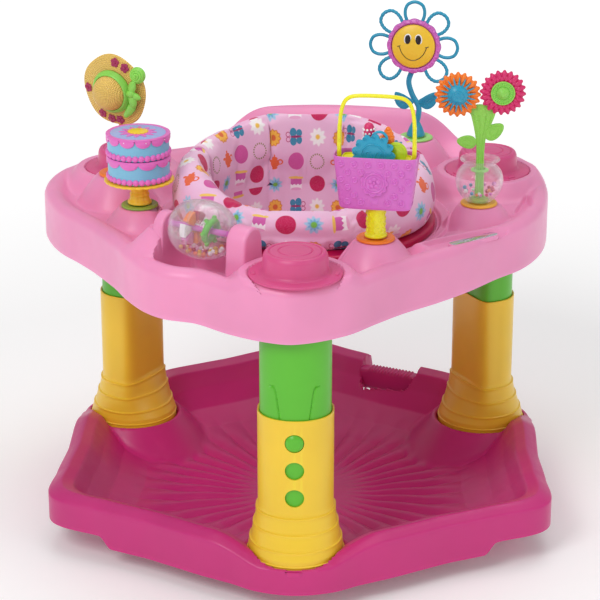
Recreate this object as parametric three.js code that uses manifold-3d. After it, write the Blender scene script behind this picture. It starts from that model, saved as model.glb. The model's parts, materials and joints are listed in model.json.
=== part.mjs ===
// A standing activity saucer for babies: a dished base on three telescoping legs, a play tray with a
// swivelling fabric seat in its middle, and five clip-on toys round the tray. Millimetres, +Z up.
// The origin is the centre of the three-leg circle on the floor, and the front leg points along -Y.

import * as THREE from 'three';
import { mergeVertices } from 'three/addons/utils/BufferGeometryUtils.js';
import Module from 'manifold-3d';

const wasm = await Module();
wasm.setup();

// ---------------------------------------------------------------- driving dimensions

const GAP = 0.4; // running and resting clearance between separate pieces
const LEG_CIRCLE = 285; // radius of the circle that the three legs stand on
const LEGS = [['front', -90], ['left', 150], ['right', 30]];

const SAUCER = {
  // outline radius by the angle from the nearest leg in degrees, the same on both sides of each leg
  outline: [[0, 350], [8, 343], [14, 330], [22, 322], [30, 318], [38, 321], [49, 341], [60, 370]],
  rim: 85,
  rimDip: 21, // how much lower the rim is at the legs
  skirtBottom: 25,
  lobeLift: 15, // how much higher the skirt ends at the lobes
  wall: 4,
  floorRadius: 112,
  collarTop: 50,
};
// The dish, as [share of the outline radius, share of the rise from floor to rim].
const DISH = [[0.31, 0], [0.52, 0.07], [0.68, 0.2], [0.79, 0.4], [0.86, 0.68], [0.905, 0.93], [0.95, 1], [0.985, 0.95]];
const HANDLE = { angle: 66, radius: 308, top: 74, bottom: 42, depth: 22, length: 84, slotRadius: 280, slot: 26 };

const LEG = { out: 40, back: 28, half: 47, wall: 2.5, top: 246, foot: 60, footTop: 66, flareTop: 122 };
const TUBE = { bottom: 130, top: 398, wall: 2.5, shelf: 330 };
const BUTTON = { radius: 11.2, hole: 11.8, heights: [217, 180.5, 144], proud: 3 };
const SPRING = { coil: 15.5, wire: 1.6, turns: 4, top: 446 };
const CAP = { flange: 57, radius: 39.5, base: 420, height: 31 };

const TRAY = {
  // outline radius by plan angle in degrees
  outline: [
    [0, 312], [12, 332], [24, 356], [36, 380], [46, 382], [56, 368], [70, 348], [90, 338], [110, 330], [125, 325],
    [140, 350], [150, 372], [158, 374], [167, 362], [175, 342], [183, 320], [191, 296], [200, 281], [212, 277],
    [222, 287], [232, 300], [238, 303], [246, 297], [256, 316], [264, 331], [270, 336], [281, 312], [290, 282],
    [300, 262], [312, 256], [325, 258], [338, 268], [348, 290],
  ],
  rim: 415,
  walk: 401, // the level between the rim and the seat's lip
  skirtBottom: 350,
  wall: 3.5,
  opening: 177,
  lip: 398,
  ledge: 160,
};
const SEAT = { flange: 173, bore: 148, flangeTop: 402, skirt: 374, roll: 454, back: 500, outer: 154, bottom: 250 };

// Toy sockets on the tray: plan position and the height of the boss that each one sits on.
const SOCKETS = {
  hat: { x: -250, y: 48, z: 440, color: 0xf08a1c },
  cake: { x: -210, y: -48, z: 427, color: 0x86a83a },
  purse: { x: 95, y: -186, z: 432, color: 0xf58a1e },
  sunflower: { x: 150, y: 245, z: 436, color: 0x9adf7a },
  vase: { x: 228, y: -25, z: 427, color: 0xf5b63a },
};
const SOCKET = { radius: 24, thick: 4, spigot: 11.5, bore: 6.2, depth: 14 };
const PEG = { radius: 5.6, depth: 11 };
const GLOBE = { x: -117, y: -200, z: 447, yaw: -30, radius: 37, half: 42, earThick: 30 };

// ---------------------------------------------------------------- helpers

const rad = THREE.MathUtils.degToRad;
const root = new THREE.Group();

function paint(color, roughness = 0.4, metalness = 0) {
  return new THREE.MeshStandardMaterial({ color, roughness, metalness });
}

// Smooth curve through [x, y] points that repeats after the given period.
function periodicCurve(points, period) {
  const count = points.length;
  const at = (i) => {
    const turn = Math.floor(i / count);
    const [x, y] = points[i - turn * count];
    return [x + turn * period, y];
  };
  const slope = (i) => (at(i + 1)[1] - at(i - 1)[1]) / (at(i + 1)[0] - at(i - 1)[0]);
  return (x) => {
    const wrapped = x - Math.floor((x - points[0][0]) / period) * period;
    let i = 0;
    while (at(i + 1)[0] < wrapped) i += 1;
    const [x0, y0] = at(i);
    const [x1, y1] = at(i + 1);
    const width = x1 - x0;
    const t = (wrapped - x0) / width;
    const ease = t * t * (3 - 2 * t);
    const start = slope(i) * width * t * (1 - t) * (1 - t);
    const end = slope(i + 1) * width * t * t * (t - 1);
    return y0 * (1 - ease) + y1 * ease + start + end;
  };
}

function smooth(from, to, x) {
  return THREE.MathUtils.smoothstep(x, from, to);
}

// Welds the vertices, drops the triangles that have collapsed and turns the faces outwards.
function weld(geometry) {
  const bare = geometry.index ? geometry.toNonIndexed() : geometry.clone();
  bare.deleteAttribute('normal');
  bare.deleteAttribute('uv');
  const merged = mergeVertices(bare, 1e-3);
  const index = merged.index.array;
  const kept = [];
  for (let i = 0; i < index.length; i += 3) {
    const [a, b, c] = [index[i], index[i + 1], index[i + 2]];
    if (a !== b && b !== c && c !== a) kept.push(a, b, c);
  }
  const corner = [new THREE.Vector3(), new THREE.Vector3(), new THREE.Vector3()];
  let volume = 0;
  for (let i = 0; i < kept.length; i += 3) {
    corner.forEach((v, k) => v.fromBufferAttribute(merged.attributes.position, kept[i + k]));
    volume += corner[0].dot(corner[1].cross(corner[2]));
  }
  merged.setIndex(volume < 0 ? kept.reverse() : kept);
  return merged;
}

function solid(geometry) {
  const welded = weld(geometry);
  const mesh = new wasm.Mesh({
    numProp: 3,
    vertProperties: new Float32Array(welded.attributes.position.array),
    triVerts: new Uint32Array(welded.index.array),
  });
  return new wasm.Manifold(mesh);
}

function geometryOf(manifold) {
  const mesh = manifold.getMesh();
  const geometry = new THREE.BufferGeometry();
  geometry.setAttribute('position', new THREE.BufferAttribute(mesh.vertProperties, 3));
  geometry.setIndex(new THREE.BufferAttribute(mesh.triVerts, 1));
  return geometry;
}

// Joins the first list of solids and cuts the second list away.
function carve(joined, cut = []) {
  let result = solid(joined[0]);
  for (const geometry of joined.slice(1)) result = result.add(solid(geometry));
  for (const geometry of cut) result = result.subtract(solid(geometry));
  return geometryOf(result);
}

// Skins a stack of equal rings of [x, y, z] points: capped at both ends, or joined last to first.
function loft(rings, looped = false) {
  const count = rings[0].length;
  const positions = rings.flat(2);
  const index = [];
  const bands = looped ? rings.length : rings.length - 1;
  for (let i = 0; i < bands; i += 1) {
    const below = i * count;
    const above = ((i + 1) % rings.length) * count;
    for (let j = 0; j < count; j += 1) {
      const next = (j + 1) % count;
      index.push(below + j, below + next, above + next, below + j, above + next, above + j);
    }
  }
  if (!looped) {
    for (const [ring, flip] of [[0, true], [rings.length - 1, false]]) {
      const middle = positions.length / 3;
      const centre = [0, 1, 2].map((k) => rings[ring].reduce((sum, p) => sum + p[k], 0) / count);
      positions.push(...centre);
      for (let j = 0; j < count; j += 1) {
        const a = ring * count + j;
        const b = ring * count + ((j + 1) % count);
        index.push(middle, flip ? b : a, flip ? a : b);
      }
    }
  }
  const geometry = new THREE.BufferGeometry();
  geometry.setAttribute('position', new THREE.Float32BufferAttribute(positions, 3));
  geometry.setIndex(index);
  return geometry;
}

// A ring of points whose radius and height are functions of the angle in degrees.
function ring(count, radius, height) {
  return Array.from({ length: count }, (_, j) => {
    const angle = (360 * j) / count;
    const r = radius(angle);
    return [r * Math.cos(rad(angle)), r * Math.sin(rad(angle)), height(angle, r)];
  });
}

// A body of revolution about Z from [radius, z] points.
function turned(profile, segments = 16) {
  return new THREE.LatheGeometry(profile.map(([r, z]) => new THREE.Vector2(r, z)), segments).rotateX(Math.PI / 2);
}

function hoop(inner, outer, bottom, top, segments = 16) {
  return turned([[inner, bottom], [outer, bottom], [outer, top], [inner, top], [inner, bottom]], segments);
}

function drum(radius, bottom, top, segments = 16, topRadius = radius) {
  return turned([[0, bottom], [radius, bottom], [topRadius, top], [0, top]], segments);
}

// A flat outline in XY raised from one height to another.
function slab(points, bottom, top) {
  const shape = new THREE.Shape(points.map(([x, y]) => new THREE.Vector2(x, y)));
  return new THREE.ExtrudeGeometry(shape, { depth: top - bottom, bevelEnabled: false }).translate(0, 0, bottom);
}

function rod(points, radius, steps, sides = 8) {
  const section = new THREE.Shape();
  for (let k = 0; k < sides; k += 1) {
    const angle = (2 * Math.PI * k) / sides;
    section[k ? 'lineTo' : 'moveTo'](radius * Math.cos(angle), radius * Math.sin(angle));
  }
  const path = new THREE.CatmullRomCurve3(points.map((p) => new THREE.Vector3(...p)));
  return new THREE.ExtrudeGeometry(section, { extrudePath: path, steps, bevelEnabled: false });
}

// A box with its middle at a point.
function block(width, depth, height, x = 0, y = 0, z = 0) {
  return new THREE.BoxGeometry(width, depth, height).translate(x, y, z);
}

function stadium(length, width, steps = 6) {
  const points = [];
  for (const side of [1, -1]) {
    for (let k = 0; k <= steps; k += 1) {
      const angle = rad(-90 + (180 * k) / steps) + (side < 0 ? Math.PI : 0);
      points.push([side * (length - width) / 2 + (width / 2) * Math.cos(angle), (width / 2) * Math.sin(angle)]);
    }
  }
  return points;
}

function add(parent, name, geometry, material) {
  const mesh = new THREE.Mesh(weld(geometry), material);
  mesh.name = name;
  parent.add(mesh);
  return mesh;
}

function place(x, y, z, yaw = 0) {
  const group = new THREE.Group();
  group.position.set(x, y, z);
  group.rotation.z = rad(yaw);
  root.add(group);
  return group;
}

// ---------------------------------------------------------------- materials

const PLASTIC = {
  base: paint(0xc53f86, 0.42),
  tray: paint(0xeb9bc3, 0.38),
  cap: paint(0xd2508a, 0.4),
  crimson: paint(0xbe145a, 0.4),
  yellow: paint(0xf2cf3f, 0.38),
  green: paint(0x5abe3c, 0.38),
  blue: paint(0x2896be, 0.35),
  orange: paint(0xf0781e, 0.38),
  magenta: paint(0xd2286e, 0.38),
  purple: paint(0xd264be, 0.35),
  cakeBlue: paint(0x7cc0dc, 0.4),
  straw: paint(0xf5b24e, 0.55),
  lime: paint(0xb9d22d, 0.38),
  clear: new THREE.MeshStandardMaterial({ color: 0xf0eef5, roughness: 0.08, transparent: true, opacity: 0.35 }),
  steel: paint(0xb0b4b8, 0.35, 1),
  mirror: paint(0xd8dce0, 0.1, 1),
  fabric: paint(0xf0c8e1, 0.9),
};

// ---------------------------------------------------------------- base saucer and its folding feet

const nearestLeg = (angle) => Math.abs((((angle + 90) % 120) + 120 + 60) % 120 - 60);
const mirrored = (points) => [...points, ...points.slice(1, -1).reverse().map(([x, y]) => [120 - x, y])];
const saucerCurve = periodicCurve(mirrored(SAUCER.outline), 120);
const saucerRadius = (angle) => saucerCurve(nearestLeg(angle));
const saucerRim = (angle) => SAUCER.rim - SAUCER.rimDip * (1 - smooth(4, 20, nearestLeg(angle)));
const saucerSkirt = (angle) => SAUCER.skirtBottom + SAUCER.lobeLift * smooth(42, 52, nearestLeg(angle));

function baseSaucer() {
  const sectors = 36;
  const floor = SAUCER.wall + 1;
  const rings = [];
  const layer = (share, height) => rings.push(ring(sectors, (a) => share * saucerRadius(a), height));
  rings.push(ring(sectors, () => 1, () => floor));
  rings.push(ring(sectors, () => SAUCER.floorRadius, () => floor));
  for (const [share, rise] of DISH.slice(1)) {
    layer(share, (a) => floor + rise * (saucerRim(a) - floor));
  }
  layer(1, (a) => saucerRim(a) - 16);
  layer(1, saucerSkirt);
  rings.push(ring(sectors, (a) => saucerRadius(a) - SAUCER.wall, saucerSkirt));
  rings.push(ring(sectors, (a) => saucerRadius(a) - SAUCER.wall, (a) => saucerRim(a) - 18));
  for (const [share, rise] of [DISH[5], DISH[3]]) {
    rings.push(ring(sectors, (a) => share * saucerRadius(a) + 2, (a) => rise * (saucerRim(a) - SAUCER.wall) - 1));
  }
  rings.push(ring(sectors, () => SAUCER.floorRadius, () => 0));
  rings.push(ring(sectors, () => 1, () => 0));
  const shell = loft(rings);

  const joined = [shell];
  const cut = [];
  for (const [, angle] of LEGS) {
    const [x, y] = [LEG_CIRCLE * Math.cos(rad(angle)), LEG_CIRCLE * Math.sin(rad(angle))];
    joined.push(drum(66, 12, SAUCER.collarTop, 14, 63).translate(x, y, 0));
    cut.push(drum(61, -2, SAUCER.collarTop - SAUCER.wall, 14, 58).translate(x, y, 0));
    cut.push(drum(LEG.foot + 1.8, SAUCER.collarTop, 120, 18).translate(x, y, 0));
  }
  const { angle, radius, top, bottom, depth, length, slotRadius, slot } = HANDLE;
  const turn = (geometry) => geometry.rotateZ(rad(angle));
  const across = (points) => points.map(([x, y]) => [y, x]);
  cut.push(turn(block(70, length, 60, radius + 25, 0, top + 30)));
  cut.push(turn(slab(across(stadium(length, slot)), -5, 120).translate(slotRadius, 0, 0)));
  cut.push(hoop(292, 420, -5, SAUCER.skirtBottom - GAP, 24));
  let body = solid(carve(joined, cut));
  body = body.add(solid(turn(block(depth, length + 8, top - bottom, radius - depth / 2, 0, (top + bottom) / 2))));
  for (const [, leg] of LEGS) body = body.add(solid(footEars(leg + 60)));
  return geometryOf(body);
}

const FOOT = { pivot: 330, height: 54, length: 52.8, width: 44, thick: 9, stored: -44, pin: 3 };

// Two lugs under a lobe that hold the moulded trunnions of a folding foot.
function footEars(angle) {
  const { pivot, height, width, pin } = FOOT;
  const ears = [1, -1].map((side) => block(14, 5, 26, pivot, side * (width / 2 + 3.5), height + 6));
  const hole = new THREE.CylinderGeometry(pin + GAP, pin + GAP, width + 30, 12).translate(pivot, 0, height);
  return carve(ears, [hole]).rotateZ(rad(angle));
}

function foldingFoot(name, angle) {
  const { pivot, height, length, width, thick, stored, pin } = FOOT;
  const side = place(0, 0, 0, angle);
  const group = new THREE.Group();
  group.position.set(pivot, 0, height);
  group.rotation.y = rad(stored);
  side.add(group);
  const barrel = new THREE.CylinderGeometry(7, 7, width, 16);
  const paddle = block(length - 4, width, thick, -(length - 4) / 2, 0, 0);
  const toe = new THREE.CylinderGeometry(thick / 2, thick / 2, width, 12).translate(-(length - thick / 2), 0, 0);
  const trunnions = new THREE.CylinderGeometry(pin, pin, width + 12, 12);
  add(group, `stabilizer_foot_${name}`, carve([barrel, paddle, toe, trunnions]), PLASTIC.base);
}

// ---------------------------------------------------------------- legs

// Radius of a D-shaped section about the leg axis: an ellipse outwards, a flat with round corners inwards.
function dRadius(angle, inset = 0) {
  const c = Math.cos(rad(angle));
  const s = Math.sin(rad(angle));
  const [out, back, half] = [LEG.out - inset, LEG.back - inset, LEG.half - inset];
  if (c >= 0) return 1 / Math.hypot(c / out, s / half);
  return (Math.abs(c / back) ** 5 + Math.abs(s / half) ** 5) ** (-1 / 5);
}

function dRing(inset, z, grow = 0) {
  return ring(16, (a) => THREE.MathUtils.lerp(dRadius(a, inset), LEG.foot - inset, grow), () => z);
}

function outerLeg() {
  const foot = SAUCER.collarTop + GAP;
  const rings = [
    dRing(0, foot, 1),
    dRing(0, LEG.footTop, 0.97),
    dRing(0, 82, 0.6),
    dRing(0, 100, 0.27),
    dRing(0, LEG.flareTop, 0),
    dRing(0, LEG.top, 0),
    dRing(LEG.wall, LEG.top, 0),
    dRing(LEG.wall, foot, 0),
  ];
  const holes = BUTTON.heights.map((z) => radialPin(BUTTON.hole, 20, 60, z));
  return carve([loft(rings, true)], holes);
}

// A round pin that runs outwards from the leg axis at a height.
function radialPin(radius, from, to, z, segments = 14) {
  const pin = new THREE.CylinderGeometry(radius, radius, to - from, segments).rotateZ(Math.PI / 2);
  return pin.translate((from + to) / 2, 0, z);
}

function innerLeg() {
  const outside = LEG.wall + 0.5;
  const inside = outside + TUBE.wall;
  const wall = [dRing(outside, TUBE.bottom), dRing(outside, TUBE.top), dRing(inside, TUBE.top), dRing(inside, TUBE.bottom)];
  const shelf = loft([dRing(outside + 1, TUBE.shelf), dRing(outside + 1, TUBE.shelf + 3)]);
  return carve([loft(wall, true), shelf], [radialPin(BUTTON.hole, 20, 60, BUTTON.heights[0])]);
}

function heightButton() {
  const { radius, heights, proud } = BUTTON;
  const face = LEG.out + proud;
  const profile = [[0, 22], [radius, 22], [radius, face - 3], [radius - 2.5, face - 0.6], [0, face]];
  return turned(profile, 12).rotateY(Math.PI / 2).translate(0, 0, heights[0]);
}

function bounceSpring() {
  const { coil, wire, turns, top } = SPRING;
  const bottom = TUBE.shelf + 3 + GAP + wire;
  const perTurn = 6;
  const points = Array.from({ length: turns * perTurn + 1 }, (_, i) => {
    const angle = (2 * Math.PI * i) / perTurn;
    const z = bottom + ((top - bottom) * i) / (turns * perTurn);
    return [5 + coil * Math.cos(angle), coil * Math.sin(angle), z];
  });
  return rod(points, wire, turns * perTurn, 4);
}

function legCap() {
  const { flange, radius, base, height } = CAP;
  const wall = 3;
  const top = base + height;
  return turned([
    [0, top - wall], [radius - wall - 2, top - wall], [radius - wall, base + GAP], [flange, base + GAP],
    [flange, base + 3], [radius + 4, base + 4.5], [radius, base + 9], [radius - 1, top - 4], [radius - 5, top], [0, top],
  ], 16);
}

function legs() {
  for (const [name, angle] of LEGS) {
    const yaw = rad(angle);
    const leg = place(LEG_CIRCLE * Math.cos(yaw), LEG_CIRCLE * Math.sin(yaw), 0, angle);
    add(leg, `outer_leg_${name}`, outerLeg(), PLASTIC.yellow);
    add(leg, `inner_leg_${name}`, innerLeg(), PLASTIC.green);
    add(leg, `height_button_${name}`, heightButton(), PLASTIC.green);
    add(leg, `bounce_spring_${name}`, bounceSpring(), PLASTIC.steel);
    add(leg, `leg_cap_${name}`, legCap(), PLASTIC.cap);
  }
}

// ---------------------------------------------------------------- play tray

const trayCurve = periodicCurve(TRAY.outline, 360);

// Height of the tray's upper skin: a lip round the seat, a level walk inside a raised rim, a flat shelf
// for the mirror and a broad hump behind.
function trayTop(x, y) {
  const r = Math.hypot(x, y);
  const edge = trayCurve(THREE.MathUtils.radToDeg(Math.atan2(y, x)));
  const lip = (TRAY.walk - TRAY.lip) * smooth(TRAY.opening, 190, r);
  const across = smooth(-205, -60, x) * (1 - smooth(150, 290, x));
  const hump = across * smooth(255, 318, y);
  const shelf = 1 - smooth(45, 80, Math.hypot(x - MIRROR.x, y - MIRROR.y));
  const raised = Math.max(smooth(edge - 44, edge - 14, r), shelf, hump);
  return TRAY.lip + lip + (TRAY.rim - TRAY.walk) * raised + 46 * hump - 10 * smooth(edge - 14, edge, r);
}

function trayShell() {
  const sectors = 45;
  const shares = [0, 0.15, 0.55, 0.75, 0.92, 1];
  const rings = [];
  const span = (share, inset) => (a) => {
    const outer = trayCurve(a) - inset;
    return TRAY.opening + share * (outer - TRAY.opening);
  };
  const skin = (drop) => (a, r) => trayTop(r * Math.cos(rad(a)), r * Math.sin(rad(a))) - drop;
  for (const share of shares) rings.push(ring(sectors, span(share, 0), skin(0)));
  rings.push(ring(sectors, trayCurve, () => TRAY.skirtBottom));
  rings.push(ring(sectors, span(1, TRAY.wall), () => TRAY.skirtBottom));
  for (const share of [1, 0.75, 0.55]) {
    rings.push(ring(sectors, span(share, TRAY.wall), skin(TRAY.wall + 1)));
  }
  rings.push(ring(sectors, () => TRAY.opening + 3, () => 388));
  rings.push(ring(sectors, () => TRAY.ledge, () => 388));
  rings.push(ring(sectors, () => TRAY.ledge, () => 392));
  rings.push(ring(sectors, () => TRAY.opening - 1, () => 392));
  return loft(rings, true);
}

// Two rounded uprights that carry the globe's axle.
function globeEars() {
  const { half, earThick, z } = GLOBE;
  return [1, -1].map((side) => {
    const arch = Array.from({ length: 7 }, (_, k) => {
      const angle = rad((180 * k) / 6);
      return [20 * Math.cos(angle), 20 * Math.sin(angle) - 5];
    });
    const outline = [...arch, [-26, TRAY.walk - 4 - z], [26, TRAY.walk - 4 - z]];
    const thick = side > 0 ? earThick : 16;
    const ear = slab(outline, 0, thick).rotateX(Math.PI / 2).rotateZ(Math.PI / 2);
    return ear.translate(side > 0 ? half + 4 : -half - 4 - thick, 0, 0);
  });
}

function placedGlobe(geometry) {
  return geometry.rotateZ(rad(GLOBE.yaw)).translate(GLOBE.x, GLOBE.y, GLOBE.z);
}

function playTray() {
  const { radius, half } = GLOBE;
  const joined = [trayShell()];
  const cut = [];
  const hollow = [];
  for (const { x, y, z } of Object.values(SOCKETS)) {
    joined.push(drum(34, TRAY.walk - 3, z, 12, 27).translate(x, y, 0));
    hollow.push(drum(42, 340, z - TRAY.wall, 12, 23.5).translate(x, y, 0));
    cut.push(drum(SOCKET.spigot + GAP, 300, 500, 12).translate(x, y, 0));
  }
  for (const [, angle] of LEGS) {
    const put = (geometry) => geometry.rotateZ(rad(angle))
      .translate(LEG_CIRCLE * Math.cos(rad(angle)), LEG_CIRCLE * Math.sin(rad(angle)), 0);
    const sleeve = loft([dRing(-1.5, 352), dRing(-1.5, CAP.base - 1)]);
    joined.push(put(sleeve), put(drum(64, TRAY.walk - 3, CAP.base, 16, 60)));
    cut.push(put(loft([dRing(LEG.wall - 0.3, 300), dRing(LEG.wall - 0.3, 500)])));
  }
  const pocket = placedGlobe(block(2 * half + 8, 2 * radius + 10, 80, 0, 0, -4));
  const tub = placedGlobe(block(2 * half + 20, 2 * radius + 18, 29, 0, 0, 386.5 - GLOBE.z));
  const tubInside = placedGlobe(block(2 * half + 8, 2 * radius + 10, 60, 0, 0, 406 - GLOBE.z));
  joined.push(tub);
  cut.push(pocket, tubInside);
  let body = solid(carve(joined, [...hollow, ...cut]));
  for (const ear of globeEars()) body = body.add(solid(placedGlobe(ear)));
  const bore = new THREE.CylinderGeometry(4.5, 4.5, 2 * half + 24, 16).rotateZ(Math.PI / 2);
  body = body.subtract(solid(placedGlobe(bore)));
  body = body.subtract(solid(mirrorPocket()));
  return geometryOf(body);
}

const MIRROR = { x: 218, y: -122, z: 411, yaw: 38, length: 78, width: 15, thick: 2.5 };

function mirrorPlate(grow, bottom, top) {
  const { x, y, yaw, length, width } = MIRROR;
  return slab(stadium(length + grow, width + grow), bottom, top).rotateZ(rad(yaw)).translate(x, y, 0);
}

function mirrorPocket() {
  return mirrorPlate(2 * GAP, MIRROR.z, 440);
}

function toySocket() {
  const { radius, thick, spigot, bore, depth } = SOCKET;
  return turned([
    [bore, -depth], [spigot, -depth], [spigot, GAP], [radius, GAP], [radius, thick - 1], [radius - 1, thick],
    [bore, thick], [bore, -depth],
  ], 12);
}

function tray() {
  add(root, 'play_tray', playTray(), PLASTIC.tray);
  add(root, 'tray_mirror', mirrorPlate(0, MIRROR.z + GAP, MIRROR.z + MIRROR.thick), PLASTIC.mirror);
  for (const [name, { x, y, z, color }] of Object.entries(SOCKETS)) {
    add(place(x, y, z), `toy_socket_${name}`, toySocket(), paint(color, 0.4));
  }
}

// ---------------------------------------------------------------- swivel seat

const seatRim = (angle) => {
  const back = smooth(-0.35, 0.9, Math.sin(rad(angle)));
  return THREE.MathUtils.lerp(SEAT.roll, SEAT.back, back);
};

function seat() {
  const { flange, bore, flangeTop, skirt, outer, bottom } = SEAT;
  const swivel = turned([
    [bore, skirt], [bore + 8, skirt], [bore + 8, 392.5], [flange, 392.5], [flange, flangeTop - 2],
    [flange - 3, flangeTop], [bore, flangeTop], [bore, skirt],
  ], 24);
  add(root, 'seat_ring', swivel, PLASTIC.crimson);
  add(root, 'seat_retainer', hoop(bore + 8.5, TRAY.opening - 6, 380, 387.5, 24), PLASTIC.crimson);

  const count = 24;
  const inner = outer - 26;
  const pad = [
    ring(count, () => outer - 8, () => flangeTop + GAP),
    ring(count, () => outer, () => flangeTop + 22),
    ring(count, () => outer, (a) => seatRim(a) - 14),
    ring(count, () => outer - 9, (a) => seatRim(a) - 1),
    ring(count, () => outer - 17, (a) => seatRim(a) - 1),
    ring(count, () => inner, (a) => seatRim(a) - 14),
    ring(count, () => inner - 2, () => flangeTop + 22),
    ring(count, () => inner + 2, () => flangeTop + GAP),
  ];
  add(root, 'seat_pad', loft(pad, true), PLASTIC.fabric);

  const wall = 7;
  const levels = [[flangeTop - 1, bore - 1.5], [360, bore - 4], [310, 128], [270, 88], [bottom, 30]];
  const outside = levels.map(([z, r]) => ring(count, () => r, () => z));
  const inside = levels.map(([z, r]) => {
    const lift = z < flangeTop - 1 ? wall : 0;
    return ring(count, () => r - wall, () => z + lift);
  });
  const legHoles = [1, -1].map((side) => {
    const hole = new THREE.CylinderGeometry(47, 47, 160, 16).rotateX(rad(52)).rotateZ(rad(side * 24));
    return hole.translate(side * 56, -88, 292);
  });
  add(root, 'seat_sling', carve([loft([...outside, ...inside.reverse()], true)], legHoles), PLASTIC.fabric);
}

// ---------------------------------------------------------------- toys

const PEG_BASE = SOCKET.thick + GAP;

// A foot that sits on a socket, with the peg that snaps into it.
function pegFoot(radius, top) {
  return turned([
    [0, -PEG.depth], [PEG.radius, -PEG.depth], [PEG.radius, PEG_BASE], [radius, PEG_BASE], [radius, top], [0, top],
  ], 20);
}

function toyGroup(name, yaw = 0) {
  const { x, y, z } = SOCKETS[name];
  return place(x, y, z, yaw);
}

const HAT = { yaw: -18, centre: [-2.5, -3, 113.5], nod: 96, turn: -10.5 };

function sunHat() {
  const toy = toyGroup('hat', HAT.yaw);
  const head = new THREE.Group();
  head.position.set(...HAT.centre);
  head.rotation.set(rad(HAT.nod), rad(HAT.turn), 0);
  toy.add(head);
  head.updateMatrix();
  const stem = rod([[0, 0, 10], [1, 7, 34], [1, 18, 60], [0, 19, 80], [-2, 13, 102], [-3, 6, 113.5]], 4.5, 12, 8);
  const pad = drum(8, -10, -2 - GAP, 16).applyMatrix4(head.matrix);
  add(toy, 'hat_stem', carve([pegFoot(12, 16), stem, pad]), PLASTIC.orange);
  const felt = [
    [0, -2], [18, -2], [21, -4.5], [33, -5.5], [48, -8.5], [49.5, -7], [34, -2.5], [25, -0.5], [23.6, 10], [18.5, 19], [9, 25],
    [0, 26],
  ];
  add(head, 'sun_hat', turned(felt, 16), PLASTIC.straw);
  const band = turned([[25.6, 0.3], [30, -0.8], [29, 2.5], [24.8, 7.5], [25.6, 0.3]], 16);
  add(head, 'hat_ribbon', band, PLASTIC.green);
}

function cake() {
  const toy = toyGroup('cake');
  const stand = turned([
    [0, -PEG.depth], [PEG.radius, -PEG.depth], [PEG.radius, PEG_BASE], [16, PEG_BASE], [13, 12], [10.5, 20], [14, 31],
    [43, 34], [45, 36], [43, 38], [0, 38],
  ], 16);
  add(toy, 'cake_stand', stand, PLASTIC.yellow);
  const lower = turned([[0, 38 + GAP], [40, 38 + GAP], [41.5, 41], [41.5, 67], [40.5, 69], [5.5, 69], [5.5, 74], [0, 74]], 16);
  add(toy, 'cake_lower_tier', lower, PLASTIC.cakeBlue);
  const upper = turned([
    [0, 75], [6.3, 75], [6.3, 69.6], [40.5, 69.6], [42, 72], [42, 96], [41, 98.5], [16, 98.5], [14, 100.5], [0, 100.5],
  ], 16);
  add(toy, 'cake_upper_tier', upper, PLASTIC.cakeBlue);
}

function globe() {
  const { x, y, z, yaw, radius, half } = GLOBE;
  const toy = place(x, y, z, yaw);
  const wall = 2;
  const bore = 4.2;
  const arc = (r, h) => Array.from({ length: 7 }, (_, k) => {
    const t = rad(12 + (156 * k) / 6);
    return [Math.max(r * Math.sin(t) ** 0.8, bore), -h * Math.cos(t)];
  });
  const outside = [[bore, -half], ...arc(radius, half - 1), [bore, half]];
  const inside = arc(radius - wall, half - wall - 1).reverse();
  const shell = turned([...outside, ...inside, outside[0]], 14).rotateY(Math.PI / 2);
  add(toy, 'tumble_globe', shell, PLASTIC.clear);
  const axle = new THREE.CylinderGeometry(3.8, 3.8, 2 * half + 20, 12).rotateZ(Math.PI / 2);
  add(toy, 'globe_axle', axle, PLASTIC.purple);
  const heap = [-1, 0, 1].map((along) => {
    const ball = new THREE.IcosahedronGeometry(8, 0).scale(1, 1.6, 1);
    return ball.translate(12 * along, 0, -22);
  });
  add(toy, 'globe_beads', carve(heap), PLASTIC.orange);
  const charm = new THREE.TorusGeometry(11, 5, 6, 14).rotateY(Math.PI / 2);
  add(toy, 'globe_charm', charm.translate(4, 0, 0), PLASTIC.green);
}

const PURSE = { bottom: 42, top: 109, wide: 52, narrow: 44, deep: 21, shallow: 17, yaw: -8, handle: 72, hinge: 46, lug: 5.2 };

function purseRing(half, deep, z) {
  return ring(20, (a) => {
    const c = Math.abs(Math.cos(rad(a)) / half);
    const s = Math.abs(Math.sin(rad(a)) / deep);
    return (c ** 6 + s ** 6) ** (-1 / 6);
  }, () => z);
}

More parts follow.
